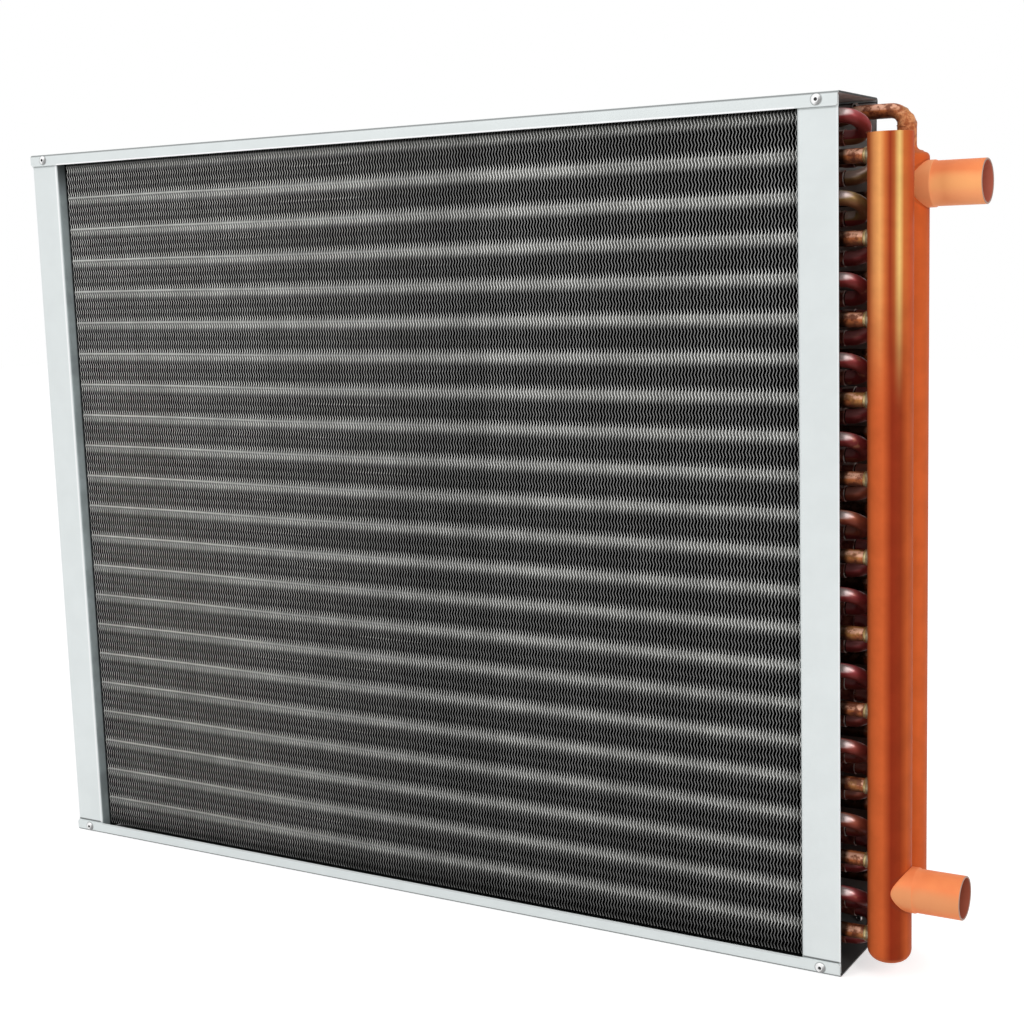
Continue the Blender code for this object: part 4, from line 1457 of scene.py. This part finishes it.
def add_neck_braze(settings, tube_radius, material):
    """A lumpy crust of braze that swells from the feed tube's bend to the top of the neck."""
    path = TubePath((HEADER_X[REAR], row_y(REAR), NECK_TOP_Z - 1.6 * MM), (0, 0, 1))
    path.turn((-1, 0, 0), radians(64), FEED_BEND, 16)
    sides, count = 28, len(path.stations)
    bm = bmesh.new()
    rings = []
    for index, (position, frame) in enumerate(path.stations):
        way = index / (count - 1)
        radius = tube_radius - 0.08 * MM + (settings.neck_radius + 0.2 * MM - tube_radius) * (1 - way) ** 1.2
        corners = []
        for u, v in polygon(1.0, sides):
            lump = 0.16 * sin(7 * u + 9 * way) + 0.14 * sin(8 * v - 17 * way)
            lump += 0.12 * sin(23 * way + 5 * u * v)
            reach = radius + lump * MM * 1.3 * min(1.0, 4 * (1 - way))
            corners.append(bm.verts.new(position + frame @ Vector((0, u * reach, v * reach))))
        rings.append(corners)
    skin(bm, rings)
    return add_piece("neck_braze", bm, [material], smooth=75)


class COIL_OT_headers(Operator):
    """Builds both headers, their water ports and the brazed neck"""

    bl_idname = "coil.headers"
    bl_label = "Headers"

    def execute(self, context):
        settings = context.scene.coil.headers
        metals = finishes(context)
        sides = settings.sides
        front = add_header("header_front", front_profile(settings), FRONT, sides, metals.get("front_header"))
        settle(front, "header_copper", "front_header", "front_header_plug")
        rear = add_header("header_rear", rear_profile(settings), REAR, sides, metals.get("rear_header"))
        settle(rear, "header_copper", "rear_header")
        settle(add_port("port_lower", FRONT, settings, metals.get("lower_port")), "port_copper", "lower_port")
        settle(add_port("port_upper", REAR, settings, metals.get("upper_port")), "port_copper", "upper_port")
        crust = add_neck_braze(settings, context.scene.coil.tubes.radius, metals.get("feed_copper"))
        settle(crust, "header_copper")
        return {"FINISHED"}


class COIL_OT_rivets(Operator):
    """Builds the blind rivets that hold the plates to the tube sheets"""

    bl_idname = "coil.rivets"
    bl_label = "Rivets"

    def execute(self, context):
        head, hole, tall = 3.4, 1.1, 1.3
        profile = [
            (0, -5.3), (1.3, -5.2), (2.2, -4.6), (2.4, -3.9), (1.6, -3.0), (1.6, 0.0), (head - 0.15, 0.0),
            (head, 0.2), (head - 0.25, 0.5), (head - 0.8, 0.85), (head - 1.5, 1.1), (hole + 0.35, tall),
            (hole + 0.05, tall - 0.1), (hole, tall - 0.35), (hole, 0.4), (0, 0.4),
        ]
        rivet = quarter_turn(turned(ring_profile(profile), 24), "X")
        x, z = rivet_offsets()
        corners = [(sx * x, HEIGHT / 2 + sz * z) for sx in (-1, 1) for sz in (-1, 1)]
        places = [(px, -HALF_DEPTH, pz) for px, pz in corners] + [(px, HALF_DEPTH, pz) for px, pz in corners]
        turns = [0.0] * 4 + [pi] * 4
        rivets = repeated("rivets", rivet, places, finishes(context).get("rivet_metal"), turns, smooth=50)
        nodes = [f"rivet_{face}_{number}" for face in ("front", "rear") for number in range(1, 5)]
        settle(rivets, "rivet_aluminium", *nodes)

        profile = [(0, 0.0), (2.9, 0.0), (3.0, 0.5), (2.8, 1.1), (2.2, 1.7)]
        profile += [(1.5, 1.9), (1.1, 1.7), (1.0, 0.5), (0, 0.5)]
        tail = quarter_turn(turned(ring_profile(profile), 20), "X")
        inner_y, tail_z = FLANGE_FACE_Y - SHEET, 13.4 * MM
        places = [(sx * (x + 1.2 * MM), inner_y, pz) for sx in (-1, 1) for pz in (tail_z, HEIGHT - tail_z)]
        tails = repeated("rivet_tails", tail, places, finishes(context).get("tail_steel"), smooth=50)
        settle(tails, "rivet_aluminium")
        return {"FINISHED"}


# Studio

def lamp(name, power, size, place, aim):
    data = bpy.data.lights.new(name, "AREA")
    data.energy = power
    data.shape = "RECTANGLE"
    data.size, data.size_y = size
    obj = add_object(name, data)
    obj.location = place
    obj.rotation_euler = (Vector(aim) - Vector(place)).to_track_quat("-Z", "Y").to_euler()


def seen_directly(w):
    """Mask of the camera's rays, also after a reflection or through glass."""
    seen = w.node("ShaderNodeLightPath").outputs
    return w.greatest(*[seen[f"Is {word} Ray"] for word in ("Camera", "Glossy", "Transmission")])


class COIL_OT_studio(Operator):
    """Sets up the floor, the lamps, the even background and the camera"""

    bl_idname = "coil.studio"
    bl_label = "Studio"

    def execute(self, context):
        settings = context.scene.coil.studio
        scene = context.scene
        scene.view_settings.view_transform = "Standard"
        self.add_camera(scene, settings)
        self.add_floor()
        self.add_world(scene, settings)
        lamp("key_lamp", settings.key_power, (0.9, 0.9), (-0.85, -1.75, 1.35), (0.0, 0.0, 0.3))
        lamp("fill_lamp", settings.fill_power, (0.35, 1.1), (1.65, -1.1, 1.25), (0.3, 0.0, 0.32))
        return {"FINISHED"}

    def add_camera(self, scene, settings):
        data = bpy.data.cameras.new("camera")
        data.lens = settings.lens
        data.sensor_width = 36
        camera = add_object("camera", data)
        turn = Matrix.Rotation(settings.heading, 4, "Z") @ Matrix.Rotation(pi / 2 + settings.tilt, 4, "X")
        turn = turn @ Matrix.Rotation(settings.roll, 4, "Z")
        camera.matrix_world = Matrix.Translation(Vector(settings.place)) @ turn
        scene.camera = camera

    def add_floor(self):
        bm = bmesh.new()
        bmesh.ops.create_grid(bm, x_segments=1, y_segments=1, size=6.0)
        material = bpy.data.materials.new("studio_floor")
        material.use_nodes = True
        material.node_tree.nodes.clear()
        w = Wiring(material.node_tree)
        paint = w.wire("ShaderNodeBsdfDiffuse", {"Color": rgba(0.80)})
        glow = w.wire("ShaderNodeEmission", {"Color": rgba(1), "Strength": seen_directly(w) * 0.55})
        both = w.wire("ShaderNodeAddShader", {0: paint, 1: glow})
        w.node("ShaderNodeOutputMaterial", {"Surface": both})
        floor = add_piece("studio_floor", bm, [material], smooth=0)

    def add_world(self, scene, settings):
        world = bpy.data.worlds.new("studio")
        scene.world = world
        world.use_nodes = True
        world.node_tree.nodes.clear()
        w = Wiring(world.node_tree)
        strength = w.smooth(seen_directly(w), 0.0, 1.0, settings.sky, 1.0)
        background = w.wire("ShaderNodeBackground", {"Color": rgba(1), "Strength": strength})
        w.node("ShaderNodeOutputWorld", {"Surface": background})


BUILD_STEPS = ("casing", "fins", "tubes", "joints", "headers", "rivets", "studio")


class COIL_PT_panel(Panel):
    """Lists the steps that build the coil"""

    bl_label = "Coil"
    bl_idname = "COIL_PT_panel"
    bl_space_type = "VIEW_3D"
    bl_region_type = "UI"
    bl_category = "Coil"

    def draw(self, context):
        for step in BUILD_STEPS:
            self.layout.operator(f"coil.{step}")


classes = (
    CasingSettings, FinSettings, TubeSettings, HeaderSettings, StudioSettings, CoilSettings,
    COIL_OT_casing, COIL_OT_fins, COIL_OT_tubes, COIL_OT_joints, COIL_OT_headers, COIL_OT_rivets,
    COIL_OT_studio, COIL_PT_panel,
)


def register():
    for item in classes:
        bpy.utils.register_class(item)
    bpy.types.Scene.coil = PointerProperty(type=CoilSettings)


def unregister():
    del bpy.types.Scene.coil
    for item in reversed(classes):
        bpy.utils.unregister_class(item)


def main():
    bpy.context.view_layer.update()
    register()
    for step in BUILD_STEPS:
        getattr(bpy.ops.coil, step)()


if __name__ == "__main__":
    main()
